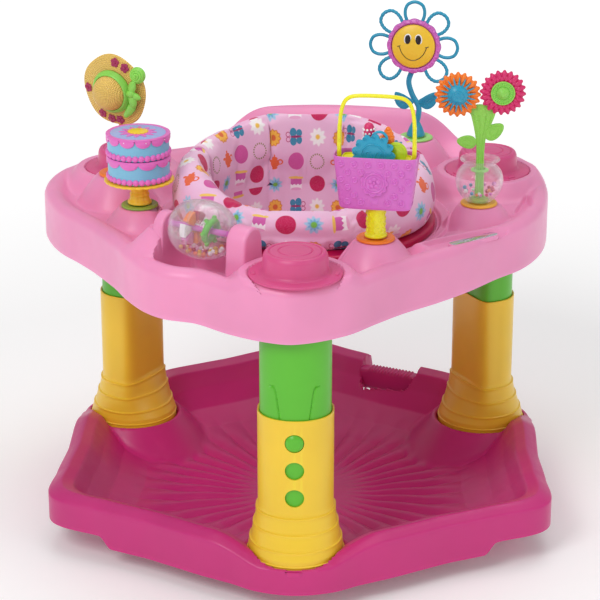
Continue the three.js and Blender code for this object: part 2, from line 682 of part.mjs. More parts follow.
function purse() {
  const toy = toyGroup('purse', PURSE.yaw);
  const { bottom, top, wide, narrow, deep, shallow, handle, hinge, lug } = PURSE;
  add(toy, 'purse_pedestal', carve([pegFoot(14, 8), drum(12, 6, bottom - GAP, 20)]), PLASTIC.yellow);
  const wall = 1.8;
  const body = loft([
    purseRing(narrow - 3, shallow - 2, bottom),
    purseRing(narrow, shallow, bottom + 4),
    purseRing(wide, deep, top),
    purseRing(wide - wall, deep - wall, top),
    purseRing(wide - wall - 1, deep - wall - 0.6, top - 10),
  ]);
  const pins = [0, Math.PI].map((yaw) => radialPin(2.1, hinge - 2, wide - 1.2, top - 4, 12).rotateZ(yaw));
  add(toy, 'purse_body', carve([body, ...pins]), PLASTIC.purple);
  const insert = loft([
    purseRing(hinge - lug / 2 - 0.8, deep - wall - 2.3, top - 10 + GAP),
    purseRing(hinge - lug / 2 - 0.5, deep - wall - 1.7, top - 4),
  ]);
  add(toy, 'purse_insert', insert, PLASTIC.yellow);
  const floor = top - 4 + GAP;
  const upright = (geometry, x, y, z) => geometry.rotateX(Math.PI / 2).translate(x, y, z);
  const rosette = slab(scalloped(24.6, 2.4, 9, 36), 0, 4);
  const below = new THREE.BoxGeometry(90, 30, 60).translate(0, 0, floor - 30);
  add(toy, 'purse_rosette', carve([upright(rosette, -3, -8, floor + 4)], [below]), PLASTIC.blue);
  const coin = carve([upright(drum(13, 0, 3.5, 20), 24, -3, floor + 10)], [below.clone()]);
  const cupcake = drum(6, floor, floor + 28, 12, 9).translate(12.5, 8, 0);
  const icing = new THREE.SphereGeometry(9, 12, 6).translate(12.5, 8, floor + 31);
  const candy = new THREE.CapsuleGeometry(7, 14, 3, 10).rotateX(Math.PI / 2).translate(-9, 5, floor + 30);
  const hook = carve([candy, drum(3, floor, floor + 20, 10).translate(-9, 5, 0)]);
  add(toy, 'purse_coin', coin, PLASTIC.lime);
  add(toy, 'purse_cupcake', carve([cupcake, icing]), PLASTIC.orange);
  add(toy, 'purse_candy', hook, PLASTIC.magenta);
  const x = hinge;
  const bail = [
    [-x, 0, top + 4], [-x + 1, 0, top + 40], [-x + 6, 0, top + handle - 10], [-x + 18, 0, top + handle],
    [x - 18, 0, top + handle], [x - 6, 0, top + handle - 10], [x - 1, 0, top + 40], [x, 0, top + 4],
  ];
  const hinges = [1, -1].map((side) => block(lug, 6.4, 24, side * x, 0, top + 5));
  const bores = [1, -1].map((side) => radialPin(2.5, x - 5, x + 5, top - 4, 12).rotateZ(side < 0 ? Math.PI : 0));
  add(toy, 'purse_handle', carve([rod(bail, 2.5, 16, 6), ...hinges], bores), PLASTIC.yellow);
}

// Points round a scalloped disc.
function scalloped(radius, bump, lobes, points, phase = 0) {
  return Array.from({ length: points }, (_, k) => {
    const angle = (2 * Math.PI * k) / points;
    const r = radius + bump * Math.cos(lobes * (angle - phase));
    return [r * Math.cos(angle), r * Math.sin(angle)];
  });
}

const SUN = { centre: [-5, -1, 133], lean: 85, turn: -11 };

function sunflower() {
  const toy = toyGroup('sunflower');
  const cone = turned([
    [0, -PEG.depth], [PEG.radius, -PEG.depth], [PEG.radius, PEG_BASE], [13, PEG_BASE], [11, 14], [5, 24], [0, 26],
  ], 14);
  const stem = rod([
    [0, 0, 18], [3, 0, 32], [3, 2, 46], [-6, 6, 62], [-11, 8, 80], [-6, 9, 98], [-4, 8, 118], [-4, 6, 130],
  ], 4, 14, 6);
  const leaves = [1, -1].map((side) => {
    const leaf = new THREE.SphereGeometry(1, 10, 6).scale(15, 3, 11).rotateY(rad(side * -24));
    return leaf.translate(-1 + side * 15, 2, 58);
  });
  const head = new THREE.Group();
  head.position.set(...SUN.centre);
  head.rotation.set(rad(SUN.lean), 0, rad(SUN.turn), 'ZYX');
  toy.add(head);
  head.updateMatrix();
  const boss = drum(8, -12, -2.6, 16).applyMatrix4(head.matrix);
  add(toy, 'sunflower_stem', carve([cone, stem, boss, ...leaves]), PLASTIC.blue);
  const loops = [];
  for (let k = 0; k < 7; k += 1) {
    const angle = -90 + 45 * (k + 1);
    loops.push(hoop(9.2, 13.6, -2, 2, 10).scale(0.98, 1, 1).translate(49.2, 0, 0).rotateZ(rad(angle)));
  }
  const disc = hoop(4.6, 33, -2, 0, 20);
  add(head, 'sunflower_petals', carve([disc, hoop(31.3, 38.8, -5, 4, 24), ...loops]), PLASTIC.purple);
  const face = turned([
    [0, -2.2], [4, -2.2], [4, GAP], [30.4, GAP], [30.4, 4], [24, 6.4], [12, 8.2], [0, 8.8],
  ], 20);
  add(head, 'sunflower_face', face, PLASTIC.yellow);
}

const FLOWERS = { gap: 57.2, rise: 3, teeth: 20, radius: 27.8, tooth: 1.9, height: 149, shift: -2.4, thick: 6 };

function vase() {
  const toy = toyGroup('vase');
  const collar = turned([
    [0, -PEG.depth], [PEG.radius, -PEG.depth], [PEG.radius, PEG_BASE], [13, PEG_BASE], [13, 9], [0, 9],
  ], 20);
  const plate = [
    [-6, 8], [6, 8], [6, 68], [11, 93], [26, 86], [29, 98], [14, 108], [18, 128], [8, 134], [-10, 134], [-18, 128],
    [-11, 102], [-9, 90], [-25, 88], [-26, 78], [-8, 76], [-6, 68],
  ];
  const stalk = slab(plate, -2.5, 2.5).rotateX(Math.PI / 2);
  add(toy, 'flower_stem', carve([collar, stalk, ...flowerPosts()]), PLASTIC.green);
  const bowl = turned([
    [13.6, 5], [17, 5], [27, 16], [31, 32], [28, 46], [19.5, 54], [21, 57], [25, 60], [25, 62], [19.5, 59.5],
    [17.5, 54], [26, 45], [29, 32], [25.5, 17], [16, 7.5], [13.6, 7.5], [13.6, 5],
  ], 14);
  add(toy, 'vase_bowl', bowl, PLASTIC.clear);
  const beads = new THREE.TorusGeometry(18.5, 4, 6, 16).translate(0, 0, 18);
  add(toy, 'vase_beads', beads, PLASTIC.orange);
  for (const [name, side, material] of [['orange', -1, PLASTIC.orange], ['magenta', 1, PLASTIC.magenta]]) {
    const spot = new THREE.Group();
    spot.position.set(...flowerCentre(side));
    spot.rotation.x = rad(90);
    toy.add(spot);
    const { radius, tooth, teeth, thick } = FLOWERS;
    const tilt = Math.atan2(FLOWERS.rise, FLOWERS.gap);
    const phase = side < 0 ? 0 : Math.PI + 2 * tilt - Math.PI / teeth;
    const disc = slab(scalloped(radius, tooth, teeth, 80, phase), 4, 4 + thick);
    const bore = drum(4, 0, 30, 16);
    add(spot, `${name}_flower`, carve([disc], [bore]), material);
    const hub = turned([[0, 4 + thick + GAP], [11, 4 + thick + GAP], [10, 14], [5, 15.5], [0, 16]], 20);
    const pin = drum(3.4, 3.5, 11, 16);
    const hubMaterial = side < 0 ? PLASTIC.blue : PLASTIC.green;
    add(spot, `${name}_flower_hub`, carve([hub, pin]), hubMaterial);
  }
}

function flowerCentre(side) {
  return [(side * FLOWERS.gap) / 2 + FLOWERS.shift, 0, FLOWERS.height + (side * FLOWERS.rise) / 2];
}

// Round pads behind the two flowers, joined to the stem plate.
function flowerPosts() {
  return [-1, 1].flatMap((side) => {
    const [x, , z] = flowerCentre(side);
    const pad = drum(7, -2.4, 3, 16).rotateX(Math.PI / 2).translate(x, 0, z);
    const arm = rod([[side * 6, 0, 124], [side * 18, 0, 138], [x, 0, z]], 2.8, 4, 6);
    return [pad, arm];
  });
}

// ---------------------------------------------------------------- assembly

add(root, 'base_saucer', baseSaucer(), PLASTIC.base);
const FEET = [['right', -30], ['left', 210], ['back', 90]];
for (const [name, angle] of FEET) foldingFoot(name, angle);
legs();
tray();
seat();
sunHat();
cake();
globe();
purse();
sunflower();
vase();

export default root;
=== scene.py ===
"""Looks for the activity saucer: fine moulded shells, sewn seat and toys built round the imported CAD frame.
Shapes are written in millimetres in local frames and scaled to metres when a piece is made."""
import json
import math
import random
from functools import partialmethod

import bmesh
import bpy
import numpy as np
from mathutils import Matrix, Vector


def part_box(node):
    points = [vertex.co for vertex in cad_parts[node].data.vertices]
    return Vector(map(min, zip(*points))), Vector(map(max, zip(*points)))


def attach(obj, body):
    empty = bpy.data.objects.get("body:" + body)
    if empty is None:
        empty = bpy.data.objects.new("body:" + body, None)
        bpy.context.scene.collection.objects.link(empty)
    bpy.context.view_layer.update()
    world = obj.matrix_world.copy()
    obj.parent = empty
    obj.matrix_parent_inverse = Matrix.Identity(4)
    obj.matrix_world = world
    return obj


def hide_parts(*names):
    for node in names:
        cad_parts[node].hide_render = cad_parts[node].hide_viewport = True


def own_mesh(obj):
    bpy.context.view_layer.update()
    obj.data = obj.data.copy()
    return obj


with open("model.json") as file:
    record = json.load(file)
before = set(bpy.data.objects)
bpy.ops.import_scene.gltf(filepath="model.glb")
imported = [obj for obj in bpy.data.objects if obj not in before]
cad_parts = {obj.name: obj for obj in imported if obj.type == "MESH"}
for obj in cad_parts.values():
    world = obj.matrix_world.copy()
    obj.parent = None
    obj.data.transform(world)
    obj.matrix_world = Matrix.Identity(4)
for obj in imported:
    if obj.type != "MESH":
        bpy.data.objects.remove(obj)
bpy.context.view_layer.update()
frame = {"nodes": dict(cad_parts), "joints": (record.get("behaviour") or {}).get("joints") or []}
JOINTS = {j["name"]: j for j in frame["joints"]}
MM = 0.001
TAU = 2 * math.pi
rad = math.radians


def box_mm(node):
    low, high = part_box(node)
    return np.array(low) / MM, np.array(high) / MM


# ------------------------------------------------------------------ numbers and curves

def smooth(a, b, x):
    t = np.clip((np.asarray(x, float) - a) / (b - a), 0, 1)
    return t * t * (3 - 2 * t)


def soft_max(a, b, k):
    """The larger of two heights with a fillet about k wide between them."""
    h = np.clip(0.5 + 0.5 * (a - b) / k, 0, 1)
    return b + (a - b) * h + k * h * (1 - h) * 0.5


def periodic(points, period):
    """Smooth curve through [x, y] points that repeats after the period."""
    xs = np.array([p[0] for p in points], float)
    ys = np.array([p[1] for p in points], float)
    x3 = np.concatenate([xs - period, xs, xs + period])
    y3 = np.tile(ys, 3)
    slopes = np.gradient(y3, x3)
    slopes[1:-1] = (y3[2:] - y3[:-2]) / (x3[2:] - x3[:-2])

    def curve(x):
        x = np.asarray(x, float)
        w = x - np.floor((x - xs[0]) / period) * period
        i = np.clip(np.searchsorted(x3, w, side="right") - 1, 0, len(x3) - 2)
        h = x3[i + 1] - x3[i]
        t = (w - x3[i]) / h
        return ((2 * t ** 3 - 3 * t ** 2 + 1) * y3[i] + (t ** 3 - 2 * t ** 2 + t) * h * slopes[i]
                + (-2 * t ** 3 + 3 * t ** 2) * y3[i + 1] + (t ** 3 - t ** 2) * h * slopes[i + 1])
    return curve


def spline(points, count, closed=False):
    """Catmull-Rom curve through the points, sampled evenly in parameter."""
    p = np.array(points, float)
    n = len(p)
    ext = p[np.r_[n - 1, range(n), 0, 1]] if closed else np.vstack([2 * p[0] - p[1], p, 2 * p[-1] - p[-2]])
    spans = n if closed else n - 1
    t = np.linspace(0, spans, count, endpoint=not closed)
    i = np.minimum(t.astype(int), spans - 1)
    f = (t - i)[:, None]
    a, b, c, d = ext[i], ext[i + 1], ext[i + 2], ext[i + 3]
    return 0.5 * (2 * b + (c - a) * f + (2 * a - 5 * b + 4 * c - d) * f ** 2
                  + (3 * b - a - 3 * c + d) * f ** 3)


def filleted(profile, size, steps=3, closed=False):
    """Rounds each corner of a 2-D profile. size is one number or one for each corner."""
    pts = [np.array(p, float) for p in profile]
    n = len(pts)
    sizes = [size] * n if np.isscalar(size) else list(size)
    out = []
    for i, p in enumerate(pts):
        if not closed and i in (0, n - 1):
            out.append(p)
            continue
        a, b = pts[i - 1], pts[(i + 1) % n]
        la, lb = np.linalg.norm(a - p), np.linalg.norm(b - p)
        s = min(sizes[i], 0.45 * la, 0.45 * lb)
        if s < 1e-4:
            out.append(p)
            continue
        q0, q1 = p + (a - p) / la * s, p + (b - p) / lb * s
        for k in range(steps + 1):
            t = k / steps
            out.append((1 - t) ** 2 * q0 + 2 * t * (1 - t) * p + t * t * q1)
    return out


def ellipse(rx, ry, count, z=0.0, centre=(0, 0)):
    """Points evenly round a level ellipse, as [x, y, z]."""
    return [(rx * math.cos(t) + centre[0], ry * math.sin(t) + centre[1], z)
            for t in np.arange(count) * TAU / count]


def circle(radius, count, z=0.0, centre=(0, 0)):
    return ellipse(radius, radius, count, z, centre)


def arc(radius, start, end, count, z=0.0, centre=(0, 0)):
    """Points of a level arc between two angles in degrees, as [x, y, z]."""
    return [(radius * math.cos(a) + centre[0], radius * math.sin(a) + centre[1], z)
            for a in np.linspace(rad(start), rad(end), count)]


def spiral(count, start, grow, step, z, climb=0.0, centre=(0, 0)):
    """A flat curl: its radius grows and its height climbs by the same amount at every step."""
    return [((start + grow * k) * math.cos(step * k) + centre[0],
             (start + grow * k) * math.sin(step * k) + centre[1],
             z + climb * k) for k in range(count)]


def plate(half_x, half_y, corner, steps):
    """A rectangle with rounded corners."""
    return filleted([(-half_x, -half_y), (half_x, -half_y), (half_x, half_y), (-half_x, half_y)],
                    corner, steps, True)


# ------------------------------------------------------------------ meshes

class Part:
    """Vertices and faces gathered in millimetres, with one material index for each face."""

    def __init__(self):
        self.v, self.f, self.m = [], [], []

    def put(self, verts, faces, at=None, mat=0):
        base = len(self.v)
        verts = np.asarray(verts, float)
        if at is not None:
            a = np.array(at)
            verts = verts @ a[:3, :3].T + a[:3, 3]
        self.v.extend(map(tuple, verts))
        self.f.extend(tuple(base + i for i in f) for f in faces)
        self.m.extend([mat] * len(faces))
        return self

    def grid(self, rows, around=True, along=False, caps=False, at=None, mat=0):
        """Skins rows of points. around closes each row on itself, along joins the last row to the first."""
        rows = np.asarray(rows, float)
        n, m = rows.shape[:2]
        faces = []
        for i in range(n if along else n - 1):
            a, b = i * m, (i + 1) % n * m
            for j in range(m if around else m - 1):
                k = (j + 1) % m
                faces.append((a + j, a + k, b + k, b + j))
        if caps:
            faces.append(tuple(range(m - 1, -1, -1)))
            faces.append(tuple((n - 1) * m + j for j in range(m)))
        return self.put(rows.reshape(-1, 3), faces, at, mat)

    def lathe(self, profile, sides=64, at=None, mat=0, wave=None):
        """Turns [r, z] about Z. An open profile that starts and ends on the axis, or a closed one."""
        pts = [np.array(p, float) for p in profile]
        on_axis = pts[0][0] < 1e-6 and pts[-1][0] < 1e-6
        body = pts[1:-1] if on_axis else pts[:-1] if np.allclose(pts[0], pts[-1]) else pts
        a = np.arange(sides) * TAU / sides
        rows = []
        for r, z in body:
            rr = np.full(sides, r) if wave is None else r + wave(a, r, z)
            rows.append(np.stack([rr * np.cos(a), rr * np.sin(a), np.full(sides, z)], 1))
        if not on_axis:
            return self.grid(rows, along=True, at=at, mat=mat)
        base = len(self.v)
        self.grid(rows, at=at, mat=mat)
        poles = np.array([[0, 0, pts[0][1]], [0, 0, pts[-1][1]]])
        if at is not None:
            m4 = np.array(at)
            poles = poles @ m4[:3, :3].T + m4[:3, 3]
        low = len(self.v)
        self.v.extend(map(tuple, poles))
        last = base + (len(rows) - 1) * sides
        for j in range(sides):
            k = (j + 1) % sides
            self.f.append((base + k, base + j, low))
            self.f.append((last + j, last + k, low + 1))
            self.m.extend([mat, mat])
        return self

    def hoop(self, outline, sides, at=None, mat=0, wave=None):
        """Turns an outline that closes on itself about Z."""
        return self.lathe([*outline, outline[0]], sides, at, mat, wave)

    def tube(self, points, radius, sides=12, closed=False, at=None, mat=0, flat=1.0):
        """A round rod along a line. radius is one number or one for each point, and ends are domed."""
        p = np.array(points, float)
        n = len(p)
        r = np.full(n, radius, float) if np.isscalar(radius) else np.asarray(radius, float)
        nxt = np.roll(p, -1, 0) if closed else np.vstack([p[1:], 2 * p[-1] - p[-2]])
        prv = np.roll(p, 1, 0) if closed else np.vstack([2 * p[0] - p[1], p[:-1]])
        tan = nxt - prv
        tan /= np.linalg.norm(tan, axis=1)[:, None]
        up = np.array([0.0, 0.0, 1.0]) if abs(tan[0][2]) < 0.9 else np.array([0.0, 1.0, 0.0])
        side = np.cross(tan[0], up)
        frames = []
        for t in tan:
            side = side - t * side.dot(t)
            side /= np.linalg.norm(side)
            frames.append((side.copy(), np.cross(side, t)))
        if closed:
            twist = math.atan2(frames[-1][0].dot(frames[0][1]), frames[-1][0].dot(frames[0][0]))
        ang = np.arange(sides) * TAU / sides
        rows = []
        for i in range(n):
            s, u = frames[i]
            spin = ang - (twist * i / n if closed else 0)
            rows.append(p[i] + r[i] * (np.cos(spin)[:, None] * s + flat * np.sin(spin)[:, None] * u))
        if not closed:
            domes = []
            for i, way in ((0, -1), (-1, 1)):
                s, u = frames[i]
                disc = np.cos(ang)[:, None] * s + flat * np.sin(ang)[:, None] * u
                domes.append([p[i] + way * tan[i] * r[i] * k + r[i] * math.sqrt(1 - k * k) * disc
                              for k in (0.5, 0.85)])
            rows = domes[0][::-1] + rows + domes[1]
        return self.grid(rows, along=closed, caps=not closed, at=at, mat=mat)

    def slab(self, outline, z0, z1, bevel=0.6, at=None, mat=0, steps=2):
        """A flat outline raised from z0 to z1 with rounded edges."""
        o = np.array(outline, float)
        t = np.roll(o, -1, 0) - np.roll(o, 1, 0)
        t /= np.maximum(np.linalg.norm(t, axis=1)[:, None], 1e-9)
        normal = np.stack([t[:, 1], -t[:, 0]], 1)
        area = 0.5 * np.sum(o[:, 0] * np.roll(o[:, 1], -1) - np.roll(o[:, 0], -1) * o[:, 1])
        if area < 0:
            o, normal = o[::-1], -normal[::-1]
        rows = []
        for k in range(steps + 1):
            q = math.pi / 2 * k / steps
            rows.append((bevel * (1 - math.sin(q)), z0 + bevel * (1 - math.cos(q))))
        rows += [(inset, z1 + z0 - z) for inset, z in reversed(rows)]
        made = [np.column_stack([o - normal * inset, np.full(len(o), z)]) for inset, z in rows]
        return self.grid(made, caps=True, at=at, mat=mat)

    def ball(self, centre, radii, sides=20, at=None, mat=0):
        rx, ry, rz = (radii,) * 3 if np.isscalar(radii) else radii
        here = Matrix.Translation(centre) @ Matrix.Diagonal((rx, ry, rz, 1))
        if at is not None:
            here = Matrix(at) @ here
        n = sides // 2
        prof = [(math.sin(math.pi * k / n), -math.cos(math.pi * k / n)) for k in range(n + 1)]
        prof[0], prof[-1] = (0, -1), (0, 1)
        return self.lathe(prof, sides, here, mat)

    def make(self, name, materials, ride, replaces=(), slot=None, at=None, shade=32, merge=0.0):
        verts = np.array(self.v, float)
        if at is not None:
            m4 = np.array(at)
            verts = verts @ m4[:3, :3].T + m4[:3, 3]
        mesh = bpy.data.meshes.new(name)
        mesh.from_pydata((verts * MM).tolist(), [], self.f)
        mesh.validate()
        o = bpy.data.objects.new(name, mesh)
        bpy.context.scene.collection.objects.link(o)
        for mat in materials if isinstance(materials, (list, tuple)) else [materials]:
            mesh.materials.append(mat)
        mesh.polygons.foreach_set("material_index", np.array(self.m[:len(mesh.polygons)], np.int32))
        clean(mesh, merge * MM)
        shade_smooth(o, shade)
        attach(o, ride)
        if replaces:
            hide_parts(*([replaces] if isinstance(replaces, str) else replaces))
        return o


def clean(mesh, merge):
    bm = bmesh.new()
    bm.from_mesh(mesh)
    if merge:
        bmesh.ops.remove_doubles(bm, verts=bm.verts, dist=merge)
    bmesh.ops.recalc_face_normals(bm, faces=bm.faces)
    bm.to_mesh(mesh)
    bm.free()


def shade_smooth(o, angle):
    mesh = o.data
    mesh.polygons.foreach_set("use_smooth", np.ones(len(mesh.polygons), bool))
    bm = bmesh.new()
    bm.from_mesh(mesh)
    limit = rad(angle)
    for e in bm.edges:
        e.smooth = len(e.link_faces) == 2 and e.calc_face_angle(0) < limit
    bm.to_mesh(mesh)
    bm.free()


def apply_modifiers(o):
    dg = bpy.context.evaluated_depsgraph_get()
    made = bpy.data.meshes.new_from_object(o.evaluated_get(dg))
    o.modifiers.clear()
    o.data = made


def cut(o, part):
    """Takes a part's volume out of an object."""
    mesh = bpy.data.meshes.new("cutter")
    mesh.from_pydata((np.array(part.v) * MM).tolist(), [], part.f)
    tool = bpy.data.objects.new("cutter", mesh)
    bpy.context.scene.collection.objects.link(tool)
    clean(mesh, 0)
    m = o.modifiers.new("cut", "BOOLEAN")
    m.operation, m.solver, m.object = "DIFFERENCE", "EXACT", tool
    apply_modifiers(o)
    bpy.data.objects.remove(tool)


def turn(axis, degrees):
    return Matrix.Rotation(rad(degrees), 4, axis)


def move(x, y, z=0.0):
    return Matrix.Translation((x, y, z))


def stadium(length, width, steps=12):
    pts = []
    for side in (1, -1):
        for k in range(steps + 1):
            a = rad(-90 + 180 * k / steps) + (math.pi if side < 0 else 0)
            pts.append((side * (length - width) / 2 + width / 2 * math.cos(a), width / 2 * math.sin(a)))
    return pts


# ------------------------------------------------------------------ materials

class Shade:
    """Builds node materials. Numbers and sockets can be mixed in its math calls."""

    def __init__(self, name):
        self.mat = bpy.data.materials.new(name)
        self.mat.use_nodes = True
        self.tree = self.mat.node_tree
        self.bsdf = self.tree.nodes["Principled BSDF"]
        self.where = self.tree.nodes.new("ShaderNodeTexCoord").outputs["Object"]

    def node(self, kind, inputs=(), out=0, **props):
        n = self.tree.nodes.new(kind)
        for key, value in props.items():
            setattr(n, key, value)
        for key, value in dict(inputs).items():
            self.feed(n.inputs[key], value)
        return n.outputs[out]

    def feed(self, socket, value):
        if isinstance(value, bpy.types.NodeSocket):
            self.tree.links.new(value, socket)
        else:
            socket.default_value = value

    def calc(self, op, a, b=0.0, c=0.0):
        return self.node("ShaderNodeMath", {0: a, 1: b, 2: c}, operation=op)

    add, sub = partialmethod(calc, "ADD"), partialmethod(calc, "SUBTRACT")
    mul, div = partialmethod(calc, "MULTIPLY"), partialmethod(calc, "DIVIDE")
    cos, sin = partialmethod(calc, "COSINE"), partialmethod(calc, "SINE")
    abs, sqrt = partialmethod(calc, "ABSOLUTE"), partialmethod(calc, "SQRT")
    floor, modulo = partialmethod(calc, "FLOOR"), partialmethod(calc, "FLOORED_MODULO")

    def noise(self, scale, detail=2.0, rough=0.5, coords=None):
        return self.node("ShaderNodeTexNoise",
                         {"Vector": coords or self.where, "Scale": scale, "Detail": detail,
                                                "Roughness": rough})

    def ramp(self, value, low, high, out_low=0.0, out_high=1.0):
        return self.node("ShaderNodeMapRange", {0: value, 1: low, 2: high, 3: out_low, 4: out_high})

    def mix(self, factor, a, b):
        n = self.tree.nodes.new("ShaderNodeMix")
        n.data_type = "RGBA"
        self.feed(n.inputs[0], factor)
        self.feed(n.inputs[6], a)
        self.feed(n.inputs[7], b)
        return n.outputs[2]

    def bump(self, height, strength, distance, normal=None):
        inputs = {"Height": height, "Strength": strength, "Distance": distance}
        if normal is not None:
            inputs["Normal"] = normal
        return self.node("ShaderNodeBump", inputs)

    def set(self, **values):
        names = {"color": "Base Color", "rough": "Roughness", "metal": "Metallic", "normal": "Normal",
                 "coat": "Coat Weight",
                 "coat_rough": "Coat Roughness", "sheen": "Sheen Weight", "sheen_rough": "Sheen Roughness",
                 "glass": "Transmission Weight", "ior": "IOR", "alpha": "Alpha", "sss": "Subsurface Weight",
                 "sss_scale": "Subsurface Scale", "spec": "Specular IOR Level"}
        for key, value in values.items():
            self.feed(self.bsdf.inputs[names[key]], value)
        return self


def srgb(r, g, b):
    """Linear colour with alpha from 0-255 display values."""
    lin = [c / 12.92 if c <= 0.04045 else ((c + 0.055) / 1.055) ** 2.4 for c in (r / 255, g / 255, b / 255)]
    return (*lin, 1.0)


def tone(color, factor):
    return (*[min(1, c * factor) for c in color[:3]], 1.0)


def plastic(name, color, rough=0.38, grain=0.25, grain_scale=900.0, sss=0.06, coat=0.12):
    """Moulded plastic: fine spark-eroded grain, faint flow clouds, and a painted highlight that makes convex
    edges a little paler.
    """
    s = Shade(name)
    cloud = s.noise(9.0, 3.0)
    base = s.mix(s.ramp(cloud, 0.3, 0.7), tone(color, 0.94), tone(color, 1.05))
    # painted highlight: convex edges, found by their pointiness, are made up to 35% paler
    edge = s.node("ShaderNodeNewGeometry", out="Pointiness")
    mottle_and_edge_highlight = s.mix(s.ramp(edge, 0.52, 0.62, 0.0, 0.35), base, tone(color, 1.35))
    fine = s.noise(grain_scale, 2.0, 0.6)
    scuff = s.noise(60.0, 4.0, 0.65)
    s.set(color=mottle_and_edge_highlight, rough=s.ramp(scuff, 0.3, 0.75, rough - 0.04, rough + 0.09),
          normal=s.bump(fine, grain, 0.0002),
          coat=coat, coat_rough=0.3, spec=0.45)
    if sss:
        s.set(sss=sss, sss_scale=0.004)
    return s.mat


def clear_plastic(name, tint):
    s = Shade(name)
    smear = s.noise(45.0, 3.0)
    rim = s.ramp(s.node("ShaderNodeLayerWeight", {"Blend": 0.35}, "Facing"), 0.25, 0.95, 0.16, 0.75)
    s.set(color=tint, rough=s.ramp(smear, 0.3, 0.8, 0.01, 0.05), glass=0.6, ior=1.45, alpha=rim,
          spec=1.0, coat=1.0,
          coat_rough=0.02)
    s.set(normal=s.bump(s.noise(30.0, 1.0), 0.05, 0.001))
    return s.mat


def metal(name, color, rough):
    s = Shade(name)
    streak = s.node("ShaderNodeMapping", {"Vector": s.where, "Scale": (40, 40, 900)})
    s.set(color=s.mix(s.noise(80.0), tone(color, 0.8), color), metal=1.0,
          rough=s.ramp(s.noise(3.0, 4.0, coords=streak), 0.3, 0.7, rough - 0.05, rough + 0.1))
    return s.mat


BASE = plastic("base_plastic", srgb(204, 42, 124), 0.36, 0.35, 700)
TRAY = plastic("tray_plastic", srgb(238, 146, 190), 0.36, 0.3, 800)
# painted shade: a darker copy of the tray colour, meant for the deep globe pocket; the tray's faces all use the
# first material
POCKET_SHADE = plastic("tray_pocket_painted_shade", srgb(224, 112, 168), 0.36, 0.3, 800)
CAP = plastic("cap_plastic", srgb(212, 78, 134), 0.38, 0.45, 800)
CRIMSON = plastic("crimson_plastic", srgb(190, 10, 78), 0.35)
YELLOW = plastic("yellow_plastic", srgb(247, 205, 52), 0.33, 0.2)
GREEN = plastic("green_plastic", srgb(92, 190, 40), 0.33, 0.2)
LEAF = plastic("leaf_plastic", srgb(140, 214, 84), 0.36, 0.4, 500)
MINT = plastic("mint_plastic", srgb(160, 226, 120), 0.36)
MOSS = plastic("moss_plastic", srgb(140, 172, 66), 0.4)
ORANGE = plastic("orange_plastic", srgb(246, 126, 34), 0.34)
AMBER = plastic("amber_plastic", srgb(247, 184, 62), 0.34)
MAGENTA = plastic("magenta_plastic", srgb(212, 40, 106), 0.33)
WINE = plastic("wine_plastic", srgb(160, 32, 84), 0.4)
PURPLE = plastic("purple_plastic", srgb(212, 108, 196), 0.28, 0.15)
SKY = plastic("sky_plastic", srgb(126, 192, 222), 0.38)
LILAC = plastic("lilac_plastic", srgb(160, 176, 226), 0.4)
FROST = plastic("frosting_plastic", srgb(230, 112, 194), 0.38)
TEAL = plastic("teal_plastic", srgb(38, 156, 190), 0.3, 0.15)
LIME = plastic("lime_plastic", srgb(186, 212, 40), 0.32)
LEMON = plastic("lemon_plastic", srgb(238, 232, 30), 0.28, 0.12)
WHITE = plastic("white_plastic", srgb(244, 240, 242), 0.36)
INK = plastic("ink", srgb(26, 18, 24), 0.3, 0.05)
CLEAR = clear_plastic("clear_plastic", (0.95, 0.94, 0.97, 1))
STEEL = metal("spring_steel", (0.62, 0.63, 0.66, 1), 0.32)
MIRROR = metal("mirror_sheet", (0.86, 0.87, 0.9, 1), 0.08)

# ------------------------------------------------------------------ the plan of the base and the tray

LEG_ANGLES = {"front": -90, "left": 150, "right": 30}
LEG_R = float(np.hypot(*((np.add(*box_mm("bounce_spring_front")) / 2)[:2]))) - 5.0


def leg_matrix(name):
    a = rad(LEG_ANGLES[name])
    return move(LEG_R * math.cos(a), LEG_R * math.sin(a)) @ turn("Z", LEG_ANGLES[name])


def leg_distance(x, y):
    """Distance to the nearest leg axis."""
    best = None
    for a in LEG_ANGLES.values():
        d = np.hypot(x - LEG_R * math.cos(rad(a)), y - LEG_R * math.sin(rad(a)))
        best = d if best is None else np.minimum(best, d)
    return best


def punch(rows, hole):
    """Leaves out the faces of a grid that lie inside a hole, and draws the hole's edge onto its outline.
    hole(x, y) is the signed distance, negative inside."""
    rows = rows.copy()
    n, m = rows.shape[:2]
    x, y = rows[..., 0], rows[..., 1]
    inside = hole(x, y) < 0
    side = inside[:-1] & inside[1:]
    gone = side & np.roll(side, -1, 1)
    kept = ~gone
    by_gone, by_kept = np.zeros((n, m), bool), np.zeros((n, m), bool)
    for di in (0, 1):
        for dj in (0, 1):
            by_gone[di:n - 1 + di] |= np.roll(gone, dj, 1)
            by_kept[di:n - 1 + di] |= np.roll(kept, dj, 1)
    rim = by_gone & by_kept
    step = 0.05
    for _ in range(3):
        d = hole(x, y)
        gx = (hole(x + step, y) - hole(x - step, y)) / (2 * step)
        gy = (hole(x, y + step) - hole(x, y - step)) / (2 * step)
        g2 = np.maximum(gx * gx + gy * gy, 1e-6)
        x = np.where(rim, x - d * gx / g2, x)
        y = np.where(rim, y - d * gy / g2, y)
    rows[..., 0], rows[..., 1] = x, y
    return rows, kept


